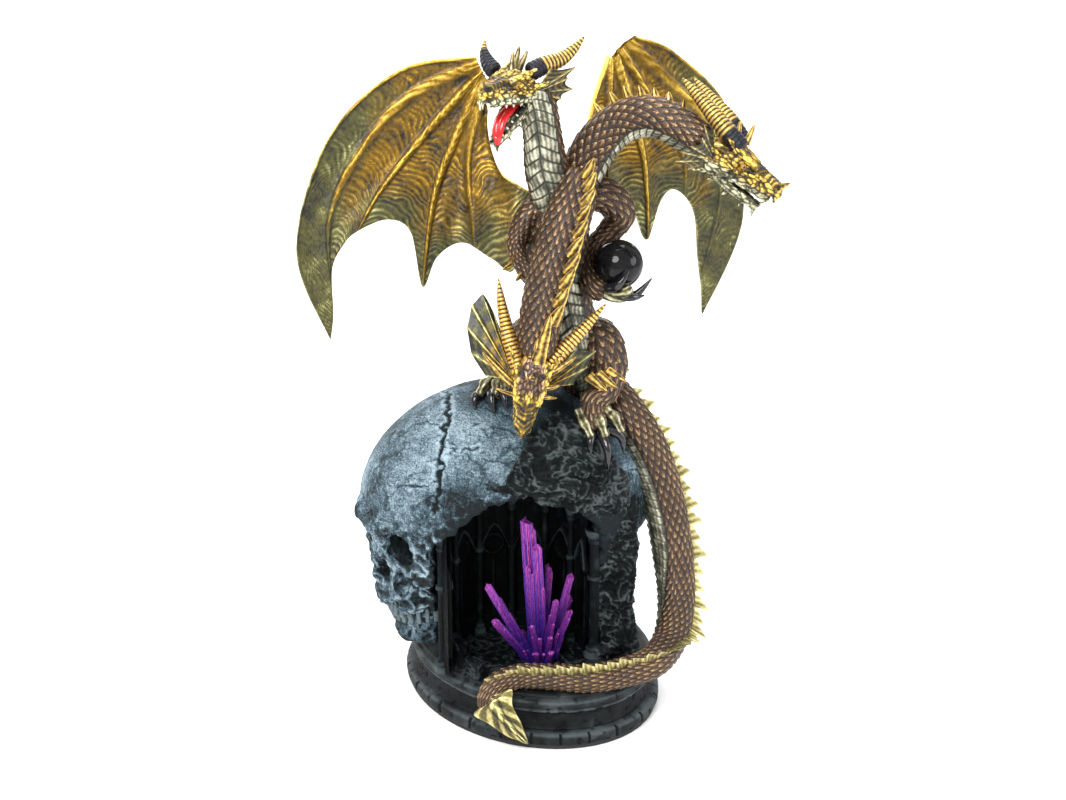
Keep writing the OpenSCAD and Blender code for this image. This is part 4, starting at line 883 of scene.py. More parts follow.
def lower_jaw_shape(q):
    m = q.copy()
    m[..., 1] = np.abs(m[..., 1])
    d = chain(m, [(-2, 7.5, 1, 3.2), (10, 6.6, 0, 2.6), (24, 4.2, -0.5, 2.1), (32, 1.5, -0.2, 2.0)], 1)
    d = join(d, ball(m, (13, 0, -2), (19, 5.5, 2.4)), 2)
    d = join(d, rod(m, (31, 0, -1), (34, 0, -6), 2.2, 0.6), 1.5)
    for a, b, r in (((24, 3.5, -2), (25, 5.5, -6.5), 1.2), ((15, 5, -2), (14, 7.5, -7), 1.3), ((6, 6.5, -1), (1, 9.5, -6), 1.5),
                    ((33, 0.8, 0.5), (34.5, 1.2, 4.2), 1.0)):
        d = join(d, rod(m, a, b, r, 0.3), 1.0)
    return d


def head_relief(head, purple=0.45, silver=0.0):
    """Small plates over the cheeks and brow, wrinkles across the bridge of the nose, a pale throat."""
    def relief(v, normal, opened):
        q = head.local(v)
        near, second = cells(q * [0.45, 1, 0.9] + 0.8 * noise(q, 4, 16)[:, None], 2.2, 21)
        crack = smoothstep(0.02, 0.3, second - near)
        wave = q[:, 0] * 1.9 + 1.2 * np.abs(q[:, 1]) + 3.5 * noise(q, 5, 3)
        ring = smoothstep(-0.5, 0.6, np.cos(wave)) * (0.6 + 0.4 * noise(q, 2, 9))
        bridge = smoothstep(22, 29, q[:, 0]) * smoothstep(4.0, 6.5, q[:, 2] + 0.1 * q[:, 0] - 2.5)
        mark = (1 - bridge) * crack + bridge * ring
        boss = np.exp(-((np.hypot(q[:, 0] - 13, q[:, 1]) - 2.4) / 0.7) ** 2) * smoothstep(4, 7, q[:, 2])
        h = 0.5 * (mark - 0.6) + 0.16 * noise(q, 1.2, 8) + 0.8 * boss
        # painted shade: colour darkens where the surface is closed in, by opened; fully open surfaces get a painted
        # brightening
        cav = (0.15 + 0.7 * mark + 0.25 * noise(q, 3, 12)) * smoothstep(0.25, 0.95, opened)
        low = smoothstep(1, -5, q[:, 2])
        brow = smoothstep(24, 18, q[:, 0]) * smoothstep(5, 9, q[:, 2]) * smoothstep(9, 6, np.abs(q[:, 1]))
        return h, {"cav": np.clip(cav + 0.2 * smoothstep(0.95, 1.0, opened), 0, 1),
                   "tone": np.clip(low + silver + 0.3 * noise(q, 9, 5), 0, 1), "brow": brow * purple * (1 - boss)}
    return relief


def jaw_relief(jaw):
    base = head_relief(jaw)

    def relief(v, normal, opened):
        h, attrs = base(v, normal, opened)
        z = jaw.local(v)[:, 2]
        # painted shade: the mouth's floor, under the upper jaw, is darkened almost to black
        mouth = smoothstep(0.6, 2.0, z) * smoothstep(0.3, 0.9, normal @ jaw.axes[2])
        return h, {"cav": attrs["cav"] * (1 - 0.95 * mouth), "tone": 0.8 + 0 * h, "brow": 0 * h}
    return relief


def cone_teeth(soup, spots, r, **attrs):
    """Small curved cones; each spot is (root, tip)."""
    for a, b in spots:
        a, b = np.asarray(a, float), np.asarray(b, float)
        d = b - a
        line = [[*(a - d * 0.25), r], [*(a + d * 0.4), r * 0.8], [*b, 0.12]]
        skin("", line, [tuple(unit(np.cross(d, vec(0.3, 0.8, 0.4))))] * 3,
             lambda u, an, ra, p: (0 * u, {"cav": 0.8 + 0 * u, "tone": 0.5 + 0 * u}), None, 0.35, 12, soup=soup)


def make_head(name, head, mouth, nodes, jaw_node, jaw_name, purple=0.45, silver=0.0):
    """Upper head and lower jaw; returns where the teeth and eyes go."""
    lo, hi = head.box((-13, -19, -15), (51, 19, 17))
    sculpt(name, lo, hi, 0.55 * head.k, lambda p: upper_head(head.local(p), mouth) * head.k,
           head_relief(head, purple, silver), M["head"], 1.8, replaces=[nodes[0]], slot=nodes[0])
    jaw = Head(head.world((6, 0, -7)), head.axes[0] * math.cos(math.radians(mouth)) - head.axes[2] * math.sin(math.radians(mouth)),
               head.axes[2] * math.cos(math.radians(mouth)) + head.axes[0] * math.sin(math.radians(mouth)), head.k)
    lo, hi = jaw.box((-7, -12, -10), (39, 12, 7))
    sculpt(jaw_name, lo, hi, 0.5 * head.k, lambda p: lower_jaw_shape(jaw.local(p)) * jaw.k,
           jaw_relief(jaw), M["head"], 1.5, replaces=jaw_node, slot=nodes[0])
    return jaw


LEFT_HEAD = Head((-4, -6, 373), (-0.80, -0.60, -0.03), (0.05, -0.10, 1), 0.93)
CENTRE_HEAD = Head((-11, -42, 226), (-0.22, -0.13, -0.97), (-0.28, -0.94, 0.18), 0.98)
RIGHT_HEAD = Head((86, -58, 341), (0.72, -0.46, -0.52), (0.42, -0.28, 0.86), 1.0)


def heads():
    jaws = []
    jaws.append(make_head("left_head_casting", LEFT_HEAD, 44, ["left_head"], ["left_head_jaw"], "left_lower_jaw", 0.3, 0.3))
    make_head("centre_head_casting", CENTRE_HEAD, 6, ["centre_head"], [], "centre_lower_jaw", 0.95)
    make_head("right_head_casting", RIGHT_HEAD, 7, ["right_head"], [], "right_lower_jaw")
    h, j = LEFT_HEAD, jaws[0]
    s = Soup()
    upper = [(x, y * f, -4.6 - 0.2 * i) for i, (x, y) in enumerate([(42, 3.2), (38, 4.3), (33, 5.1), (28, 5.9), (22, 6.9), (16, 7.8)])
             for f in (1, -1)]
    cone_teeth(s, [(h.world(q), h.world((q[0] - 0.5, q[1] * 0.95, q[2] - (4.6 if q[0] > 36 else 2.8)))) for q in upper], 0.85)
    lower = [(x, y * f, 1.2) for x, y in [(31, 2.4), (27, 3.6), (22, 4.6), (17, 5.4), (12, 6.1)] for f in (1, -1)]
    cone_teeth(s, [(j.world(q), j.world((q[0] + 0.3, q[1] * 0.95, q[2] + (4.2 if q[0] > 26 else 2.6)))) for q in lower], 0.75)
    s.done("left_head_teeth_row", M["ivory"], replaces=["left_head_teeth"], slot="left_head_teeth")
    tongue = [j.world((3, 0, 2.5)), j.world((12, 0.5, 5.5)), j.world((21, 1.5, 8)), j.world((29, 2.5, 5)), j.world((34, 3.5, 0.5))]
    line = [[*tongue[0], 3.2, 2.0], [*tongue[1], 3.8, 1.9], [*tongue[2], 3.9, 1.7], [*tongue[3], 3.2, 1.4], [*tongue[4], 1.0, 0.6]]

    def groove(u, an, ra, p):
        g = np.exp(-((an) / 0.25) ** 2) + np.exp(-((an - 2 * np.pi) / 0.25) ** 2)
        return -0.6 * g, {"cav": 0.5 + 0 * u}
    skin("left_head_tongue_casting", line, [tuple(j.axes[2])] * 5, groove, M["tongue"], 0.5, 48,
         replaces=["left_head_tongue"], slot="left_head_tongue")
    e = Soup()
    for head in (LEFT_HEAD, CENTRE_HEAD, RIGHT_HEAD):
        for f in (1, -1):
            c = head.world((20.5, 7.3 * f, 4.4))
            look = unit(head.world((24, 16 * f, 5)) - c)
            th, ph = np.meshgrid(np.linspace(0, np.pi, 20), np.linspace(0, 2 * np.pi, 28, endpoint=False), indexing="ij")
            a = unit(np.cross(look, vec(0, 0, 1)))
            b = np.cross(look, a)
            v = (c + 1.75 * head.k * (np.cos(th)[..., None] * look + np.sin(th)[..., None]
                                     * (np.cos(ph)[..., None] * a + np.sin(ph)[..., None] * b)))
            g = grid_faces(20, 28, wrap=True)
            e.add(v, g, pupil=(th < 0.42).astype(float))
    e.done("dragon_eyes", M["eye"], replaces=["eyes"], slot="eyes")


def horns():
    def horn_set(name, lines, material, node, pitch=2.4, dark=(8, 8)):
        s = Soup()
        for line, root in zip(lines, dark):
            skin("", line, [(0.2, 0.3, 1)] * len(line), ring_relief(pitch, 0.5, root), None, 0.3, 40, soup=s)
        s.done(name, material, replaces=[node], slot=node)
    horn_set("left_head_horn_pair", [
        [[-5, -11, 381, 5.2], [5, -9, 385, 5.0], [16, -7, 388, 4.0], [25, -5, 394, 2.4], [31, -4, 400, 0.4]],
        [[-21, -4, 381, 5.0], [-24, 1, 386, 4.2], [-25, 6, 392, 2.4], [-23, 11, 398, 0.4]]], M["horn"], "left_head_horns", 2.4, (8, 14))
    horn_set("centre_head_horn_pair", [
        [[-20, -42, 219, 4.4], [-24, -34, 238, 3.9], [-26, -28, 255, 2.6], [-27, -25, 269, 0.4]],
        [[-6, -45, 219, 4.4], [9, -43, 232, 3.9], [22, -42, 244, 2.6], [32, -42, 254, 0.4]]],
        M["horn_gold"], "centre_head_horns")
    horn_set("right_head_horn_pair", [
        [[99, -73, 343, 5.0], [91, -65, 354, 4.9], [84, -53, 366, 3.8], [79, -45, 374, 2.2], [76, -40, 379, 0.4]],
        [[106, -58, 345, 4.8], [101, -50, 356, 4.5], [95, -39, 366, 3.4], [91, -31, 373, 2], [89, -27, 377, 0.4]]],
        M["horn"], "right_head_horns", 2.4, (10, 10))


def fan(soup, root, tips, thick=0.9, web=0.75):
    """A frill: bony rays from around a root to the tips, with skin between that stops short of them."""
    root, tips = np.asarray(root, float), np.asarray(tips, float)
    n = len(tips)
    cols = (n - 1) * 10 + 1
    edge = catmull(tips, 10)
    w = np.linspace(0, n - 1, cols)
    between = np.abs(np.sin(np.pi * w))
    reach = 1 - (1 - web) * between ** 0.8
    t = np.linspace(0.0, 1, 22)[:, None]
    start = root + (edge - root) * 0.08
    mid = start[None] + (edge - start)[None] * (t * reach)[..., None]
    out = unit(np.cross(tips[-1] - root, tips[0] - root))
    ray = np.exp(-((between) / 0.35) ** 2)
    h = thick * (0.35 + 0.9 * ray) * np.sqrt(np.clip(1 - t ** 6, 0, 1)) * (1.1 - 0.6 * t) * np.minimum(1, np.minimum(w, n - 1 - w) * 4 + 0.05)
    f = grid_faces(22, cols)
    cav = np.clip(0.2 + 0.6 * ray + 0.15 * np.cos(t * 30), 0, 1)
    soup.add(mid + out * h[..., None], f, cav=cav, tone=np.clip(t + 0 * w, 0, 1))
    soup.add(mid - out * h[..., None], f[:, ::-1], cav=cav, tone=np.clip(t + 0 * w, 0, 1))


def frills():
    for name, node, head, more in (("left_head_frill_pair", "left_head_frills", LEFT_HEAD, 1.0),
                                   ("right_head_frill_pair", "right_head_frills", RIGHT_HEAD, 0.55)):
        s = Soup()
        for f in (1, -1):
            root = head.world((5, 9 * f, -1))
            tips = [head.world(q) for q in ((-4, 14 * f, 14), (-17 * more, 24 * f, 15), (-12 * more, 22 * f, 8),
                                            (-17 * more, 23 * f, 1), (-11, 19 * f, -5), (-12, 17 * f, -12), (-4, 13 * f, -13))]
            fan(s, root, tips, 1.1, 0.84)
        s.done(name, M["frill"], replaces=[node], slot=node)
    s = Soup()
    fan(s, (-22, -39, 212), [(-37, -30, 214), (-43, -23, 226), (-44, -18, 240), (-40, -14, 252), (-33, -13, 258), (-28, -18, 248),
                              (-23, -30, 228)], 1.6, 0.97)
    fan(s, (-5, -43, 208), [(2, -42, 222), (14, -41, 228), (27, -40, 226), (21, -42, 217), (12, -44, 208)], 1.5, 0.9)
    s.done("centre_head_frill_pair", M["wing"], replaces=["centre_head_frills"], slot="centre_head_frills")
    blades("centre_head_brow_spikes", [[-22, -46, 210, -35, -40, 221, 2.6], [-24, -46, 206, -34, -43, 210, 1.8],
                                       [-12, -49, 209, 2, -49, 210, 2.4], [-12, -49, 205, 0, -50, 203, 1.8],
                                       [-13, -49, 219, -5, -53, 254, 5.0], [-12, -49, 221, -12, -51, 240, 3.0],
                                       [-27, -44, 214, -40, -36, 230, 2.6], [-6, -47, 216, 12, -48, 226, 2.6]],
           2.4, M["gold"], [], "centre_head_frills")
    blades("left_head_crest", [[-12, -9, 384, -7, -3, 396, 2.6], [-9, -8, 384, -2, -2, 393, 2.4], [-14, -11, 384, -12, -6, 393, 2.0]],
           2.4, M["frill"], [], "left_head_frills")
    blades("right_head_crest", [[104, -67, 346, 110, -63, 355, 2.4], [100, -63, 348, 104, -58, 357, 2.2]],
           2.4, M["gold"], [], "right_head_frills")


# ---------------------------------------------------------------- skull and cave

GROTTO = (-20, -31)
GROTTO_R = 46
CAVE_TOP = 118


def cave_shape(p, grow):
    """The hollow: a round room with a domed roof and an arched, broken mouth towards -Y."""
    r = GROTTO_R + grow
    x, y, z = p[..., 0] - GROTTO[0], p[..., 1] - GROTTO[1], p[..., 2]
    room = np.hypot(x, y) - r
    dome = ball(p, (GROTTO[0], GROTTO[1], CAVE_TOP - 6), (r, r, r * 0.72))
    d = np.maximum(np.minimum(np.maximum(room, z - (CAVE_TOP - 6)), dome), -z + 5)
    arch = np.hypot(x / 1.0, np.maximum(z - (CAVE_TOP - 16), 0) * 1.15) - (r + 1)
    mouth = np.maximum(arch, y)
    return np.minimum(d, mouth)


def faced(p):
    """The face's own coordinates, mirrored: it is narrow and looks a little towards the cave's side."""
    a = math.radians(27)
    dx, dy = p[..., 0] + 93, p[..., 1] + 3
    return np.stack([-93 + dx * math.cos(a) + dy * math.sin(a), np.abs(dy * math.cos(a) - dx * math.sin(a)) / 0.75, p[..., 2]], -1)


SOCKET = [((-94, 23, 109), (19, 14.5, 10.5)), ((-78, 26, 108), (18, 11, 9.0))]


def skull_shape(p):
    m = faced(p)
    x = p[..., 0]
    d = ball(p, (-11, 12, 124), (92, 70, 72))
    d = np.maximum(d, -(p[..., 2] - 60))
    back = np.maximum(44 - x, p[..., 2] - 103)
    d = cut(d, back, 5)
    # temples pressed in, brow, nose root
    d = cut(d, ball(p, (-62, 74, 112), (26, 16, 22)), 9)
    d = cut(d, ball(p, (-64, -36, 108), (10, 9, 11)), 4)
    d = join(d, chain(m, [(-99, 3, 121, 6.0), (-95, 20, 125, 6.5), (-83, 37, 121, 6), (-75, 43, 110, 4.5)], 3), 4)
    d = join(d, chain(m, [(-92, 0, 117, 6), (-95, 0, 104, 4.2), (-98, 0, 98, 3.0)], 2), 4)
    # cheek bones, arches and upper jaw
    d = join(d, chain(m, [(-74, 42, 110, 4.5), (-75, 41, 98, 5.5), (-74, 36, 90, 6.5), (-81, 24, 88, 6.5)], 3), 4)
    d = join(d, chain(m, [(-73, 40, 94, 4.5), (-58, 52, 95, 3.6), (-42, 62, 98, 3.6), (-28, 64, 102, 4.5)], 3), 4)
    d = join(d, chain(m, [(-89, 9, 98, 4.5), (-87, 12, 84, 7.5), (-81, 12, 68, 9)], 3), 5)
    d = join(d, chain(m, [(-81, 12, 72, 9), (-66, 24, 70, 9), (-52, 28, 72, 8)], 3), 5)
    d = join(d, ball(m, (-72, 0, 76), (18, 22, 12)), 6)
    # sockets, nose opening, hollow under the cheek
    d = cut(d, join(ball(m, *SOCKET[0]), ball(m, *SOCKET[1]), 3), 1.6)
    d = cut(d, join(ball(m, (-94, 3.6, 88), (10, 4.6, 5)), ball(m, (-96, 0, 96), (9, 3.4, 6)), 2), 1.2)
    d = cut(d, ball(m, (-90, 16, 83), (5, 4.5, 8)), 2.5)
    d = cut(d, ball(m, (-62, 42, 76), (18, 12, 13)), 4)
    d = cut(d, ball(m, (-54, 60, 80), (26, 16, 16)), 5)
    d = np.maximum(d, -(p[..., 2] - 61))
    rough = 2.4 * noise(p, 9, 31) + 1.2 * noise(p, 4, 32)
    d = cut(d, cave_shape(p, 2.5) + rough, 1.5)
    # broken hole at the back
    d = cut(d, ball(p, (72, -27, 112), (6, 6, 5)), 1.5)
    return d


SUTURE = [(-46, 12, 190), (-50, 0, 186), (-53, -10, 182), (-58, -18, 176), (-62, -27, 168), (-66, -33, 158),
          (-68, -37, 148), (-70, -39, 138)]


def line_distance(v, points):
    """Distance in mm, measured along the skull, from a line drawn on it."""
    centre, half = vec(-11, 12, 124), vec(92, 70, 72)
    out = np.full(len(v), 99.0)
    on = unit((v - centre) / half) * 76
    pts = unit((catmull(points, 4) - centre) / half) * 76
    for a, b in zip(pts[:-1], pts[1:]):
        out = np.minimum(out, rod(on, a, b, 0.0))
    return out


def skull():
    def relief(v, normal, opened):
        wob = np.stack([2.4 * noise(v, 4.5, 41 + k) + 1.1 * noise(v, 2, 38 + k) for k in range(3)], -1)
        lines = [SUTURE, [(-60, -24, 170), (-52, -33, 172), (-44, -38, 175)],
                 [(8, -40, 176), (20, -38, 172), (30, -44, 160), (44, -40, 152)],
                 [(30, -44, 160), (28, -52, 150), (34, -54, 142)], [(44, -40, 152), (58, -30, 146), (66, -28, 134)],
                 [(-80, -20, 148), (-72, -30, 152), (-67, -34, 154)], [(-46, 12, 190), (-48, 40, 182), (-56, 62, 160)]]
        crack = np.full(len(v), 99.0)
        for k, points in enumerate(lines):
            dist = line_distance(v + wob, points)
            crack = np.minimum(crack, dist if k == 0 else dist + 0.7)
        groove = np.exp(-(crack / 0.85) ** 2)
        front = smoothstep(30, 70, -v[:, 0]) * smoothstep(135, 112, v[:, 2])
        pits = smoothstep(0.3, 0.55, noise(v, 2.2, 44)) * front
        q = faced(v)
        # painted shade: the eye sockets and the nose opening are darkened nearly black, as if deep
        hole = smoothstep(1.5, -2.0, np.minimum(ball(q, *SOCKET[0]), ball(q, *SOCKET[1]))) * smoothstep(-97, -92, q[:, 0])
        hole = np.maximum(hole, smoothstep(1.0, -1.5, ball(q, (-94, 3.6, 88), (10, 4.6, 5))) * 0.9)
        inside = smoothstep(3, -3, cave_shape(v, 4.5)) * (v[:, 1] < 30)
        h = 0.5 * fbm(v, 12, 3, 45) - 1.5 * groove - 0.9 * pits + inside * 1.6 * fbm(v, 6, 3, 46)
        warp = v + 2.5 * np.stack([noise(v, 8, 57 + k) for k in range(3)], -1)
        ridge = np.clip(1 - np.abs(fbm(warp, 7, 3, 60)) * 2.8, 0, 1) ** 1.3
        craze = np.clip(1 - np.abs(fbm(warp, 17, 4, 61)) * 16, 0, 1) * (1 - front)
        h = h + front * (0.8 * fbm(v, 5, 3, 50) + 0.4 * noise(v, 2.5, 54) + 1.1 * ridge - 0.5) - 0.35 * craze
        rim = np.exp(-((cave_shape(v, 2.5) - 3) / 6.0) ** 2)
        h = h + rim * (1.4 * ridge - 0.5) * (1 - front)
        lip = np.exp(-((crack - 2.2) / 1.0) ** 2)
        cav = 0.50 + 0.38 * fbm(v, 24, 3, 47) - 0.9 * groove - 0.6 * pits + 0.2 * lip
        # the hole term is the painted shade of the sockets and nose opening
        cav = cav * (1 - 0.65 * front) + 0.65 * front * (0.02 + 0.95 * ridge) - 0.3 * craze - 1.3 * hole
        # painted shade: darker where the surface is closed in, by the occlusion opened
        cav = cav * (0.25 + 0.75 * smoothstep(0.15, 0.95, opened)) + rim * (0.55 * ridge - 0.35)
        # painted shadow: the skull's front right, under the dragon's right side and tail, is darkened; the skull inside
        # the cave gets painted shade
        right = smoothstep(-12, 30, v[:, 0]) * smoothstep(30, -10, v[:, 1]) * smoothstep(60, 40, v[:, 0])
        cav = cav - 0.38 * right * (0.7 + 0.6 * fbm(v, 14, 2, 49)) - 0.75 * inside
        return h, {"cav": np.clip(cav, 0, 1)}
    sculpt("skull_casting", (-108, -62, 57), (84, 86, 200), 0.95, skull_shape, relief, M["skull"], 4.0,
           replaces=["skull"], slot="skull")


def jaw():
    def shape(p):
        m = faced(p)
        d = chain(m, [(-73, 0, 44, 6.5), (-71, 10, 45, 7), (-62, 24, 47, 6.5), (-52, 40, 51, 5.5)], 3)
        d = join(d, chain(m, [(-52, 41, 50, 5.5), (-46, 46, 66, 5), (-42, 50, 84, 4)], 3), 4)
        d = join(d, chain(m, [(-75, 4, 53, 4.5), (-70, 16, 55, 4.5), (-60, 26, 58, 4)], 3), 4)
        d = join(d, ball(m, (-76, 0, 42), (5.5, 9, 5)), 4)
        d = join(d, chain(m, [(-70, 12, 42, 6), (-58, 26, 40, 5), (-50, 30, 38, 5)], 3), 4)
        d = np.maximum(d, 32.2 - p[..., 2])
        return cut(d, cave_shape(p, 3.5) + 1.2 * noise(p, 6, 51), 1.5)

    def relief(v, normal, opened):
        q = faced(v)
        root = 0.5 + 0.5 * np.cos(np.arctan2(q[:, 1], -(q[:, 0] + 58)) * 25)
        pits = smoothstep(0.3, 0.55, noise(v, 2.2, 56))
        h = 0.6 * fbm(v, 6, 3, 52) + 0.7 * root * smoothstep(48, 54, v[:, 2]) - 0.7 * pits + 0.3 * noise(v, 2.5, 57)
        # painted shade: darker where the surface is closed in, by the occlusion opened
        cav = (0.42 + 0.4 * fbm(v, 12, 3, 53) - 0.5 * pits) * (0.15 + 0.85 * smoothstep(0.15, 0.95, opened))
        return h, {"cav": np.clip(cav, 0, 1)}
    sculpt("lower_jaw_casting", (-86, -52, 31), (-34, 70, 92), 0.8, shape, relief, M["skull"], 3.0,
           replaces=["lower_jaw"], slot="lower_jaw")
    s = Soup()
    for top in (True, False):
        for i in range(-5, 6):
            a = math.radians(14 * i)
            r = 24.5 if top else 22.5
            t = math.radians(27)
            x, y = 33 - r * math.cos(a), (r + 0.5) * math.sin(a) * 0.75
            c = vec(-93 + x * math.cos(t) - y * math.sin(t), -3 + x * math.sin(t) + y * math.cos(t), 60.2 if top else 55.2)
            w = (2.0 if abs(i) < 1 else 1.65) * (0.8 + 0.35 * math.sin(i * 2.3) ** 2)
            out = unit(vec(-math.cos(a - t), math.sin(a - t), 0))
            side = vec(-out[1], out[0], 0)
            n = 18
            th, ph = np.meshgrid(np.linspace(-np.pi / 2, np.pi / 2, n), np.linspace(0, 2 * np.pi, 24, endpoint=False), indexing="ij")
            e = 0.55

            def p_(v):
                return np.sign(v) * np.abs(v) ** e
            lo_hi = 4.3 if top else 3.6
            wob = 1 + 0.05 * np.sin(3 * ph + i)
            v = (c + p_(np.cos(th) * np.cos(ph))[..., None] * w * wob[..., None] * side
                 + p_(np.cos(th) * np.sin(ph))[..., None] * 1.9 * out + p_(np.sin(th))[..., None] * lo_hi * vec(0.03 * i, 0, 1))
            # painted shade: each tooth is darker towards its root at the bone and lighter towards its tip
            s.add(v, grid_faces(n, 24, wrap=True), cav=np.clip(0.62 - 0.35 * np.abs(np.sin(th)) ** 3 * (1 if top else -1) * np.sign(np.sin(th)), 0.1, 1))
    s.done("skull_tooth_row", M["teeth"], replaces=["skull_teeth"], slot="skull_teeth")


def rock_relief(seed, amount=1.0, bright=0.0):
    """Creased, fibrous rock: sharp bright ridges over dark hollows, with painted shade added deep in the crevices."""
    def relief(v, normal, opened):
        warp = v + 3.0 * np.stack([noise(v, 9, seed + k) for k in (4, 5, 6)], -1)
        ridge = np.clip(1 - np.abs(fbm(warp * [1, 1, 1.5], 6, 3, seed + 3)) * 3.6, 0, 1) ** 1.8
        small = np.clip(1 - np.abs(fbm(warp, 2.6, 2, seed + 9)) * 3.0, 0, 1)
        h = amount * (1.7 * ridge + 0.7 * small + 1.2 * fbm(v, 9, 3, seed + 1) - 1.2)
        cav = 0.10 + bright + 0.62 * ridge + 0.3 * small + 0.3 * fbm(v, 14, 2, seed + 2)
        # painted shade: darker where the surface is closed in, by the occlusion opened
        return h, {"cav": np.clip(cav * (0.2 + 0.8 * smoothstep(0.15, 0.95, opened)), 0, 1)}
    return relief


def rocks():
    def brim(p):
        d = chain(p, [(-36, -49, 151, 2.2), (-14, -56, 153, 4.2), (6, -58, 149, 6.0), (22, -53, 143, 7.5), (36, -46, 132, 6.5)], 3)
        patch = ball(p, (-11, 12, 124), (97, 75, 77))
        patch = np.maximum(patch, -ball(p, (-11, 12, 124), (88, 66, 68)))
        near = join(chain(p, [(-22, -52, 156, 9), (-8, -47, 170, 10), (6, -36, 180, 9), (18, -44, 174, 12), (32, -44, 154, 9),
                               (36, -42, 136, 9)], 3),
                    chain(p, [(-12, -60, 148, 7), (14, -58, 144, 13), (-3, -50, 160, 10), (12, -46, 165, 12),
                              (24, -48, 152, 13)], 3), 4)
        d = join(d, np.maximum(patch + 0.8 * noise(p, 7, 63), near + 2.5 * noise(p, 6, 62)), 2)
        for c, r in (((24, -48, 152), (9, 8, 7)), ((39, -42, 146), (8, 7, 8)), ((31, -47, 136), (8, 6, 7)), ((44, -38, 136), (6, 6, 7)),
                     ((12, -51, 158), (8, 6, 6)), ((2, -52, 154), (7, 6, 5)), ((45, -38, 128), (6, 6, 7))):
            d = join(d, ball(p, c, r), 1.6)
        return cut(d, cave_shape(p, 0.5) + 1.5 * noise(p, 6, 61), 1.0)
    sculpt("cave_brim_rock", (-44, -72, 116), (64, -14, 190), 0.8, brim, rock_relief(61, 0.8, 0.08), M["rock"], 2.5,
           replaces=["rock_brim"], slot="rock_brim")

    def pillar(p):
        d = chain(p, [(44, -31, 31, 14.0), (43, -32, 46, 12.0), (42, -33, 66, 9.2), (42, -34, 88, 10.5), (43, -33, 108, 12.5),
                      (46, -30, 124, 13.5)], 4)
        d = join(d, chain(p, [(31, -36, 40, 4), (31, -37, 80, 3), (34, -38, 112, 5)], 3), 3)
        d = join(d, chain(p, [(54, -38, 36, 4), (51, -37, 62, 3), (52, -38, 100, 4.5)], 3), 3)
        for c, r in (((34, -44, 36), (8, 7, 5)), ((50, -44, 35), (7, 6, 4.5)), ((42, -45, 40), (6, 6, 6))):
            d = join(d, ball(p, c, r), 1.5)
        return np.maximum(d, 31.6 - p[..., 2])
    sculpt("cave_pillar_rock", (26, -52, 31), (62, -12, 142), 0.7, pillar, rock_relief(71, 0.9, 0.05), M["rock"], 2.5,
           replaces=["rock_pillar"], slot="rock_pillar")

    def rear(p):
        z = p[..., 2]
        r = 58 - 6 * (z - 31.5) / 71
        d = np.maximum(np.hypot(p[..., 0], p[..., 1] - 14) - r, np.maximum(31.6 - z, z - 104))
        t = math.radians(PLINTH_TURN)
        x = p[..., 0] * math.cos(t) + p[..., 1] * math.sin(t)
        y = -p[..., 0] * math.sin(t) + p[..., 1] * math.cos(t)
        d = np.maximum(d, (np.hypot(x / 65, y / 85) - 1) * 65)
        d = np.maximum(np.maximum(d, -59 - p[..., 0]), -24 - p[..., 1])
        return cut(d, np.hypot(p[..., 0] - GROTTO[0], p[..., 1] - GROTTO[1]) - GROTTO_R - 1.5, 1.5)
    sculpt("rear_rock_casting", (-62, -28, 31), (62, 78, 106), 1.1, rear, rock_relief(81, 0.9, 0.02), M["rock"], 3.5,
           replaces=["rear_rock"], slot="rear_rock")


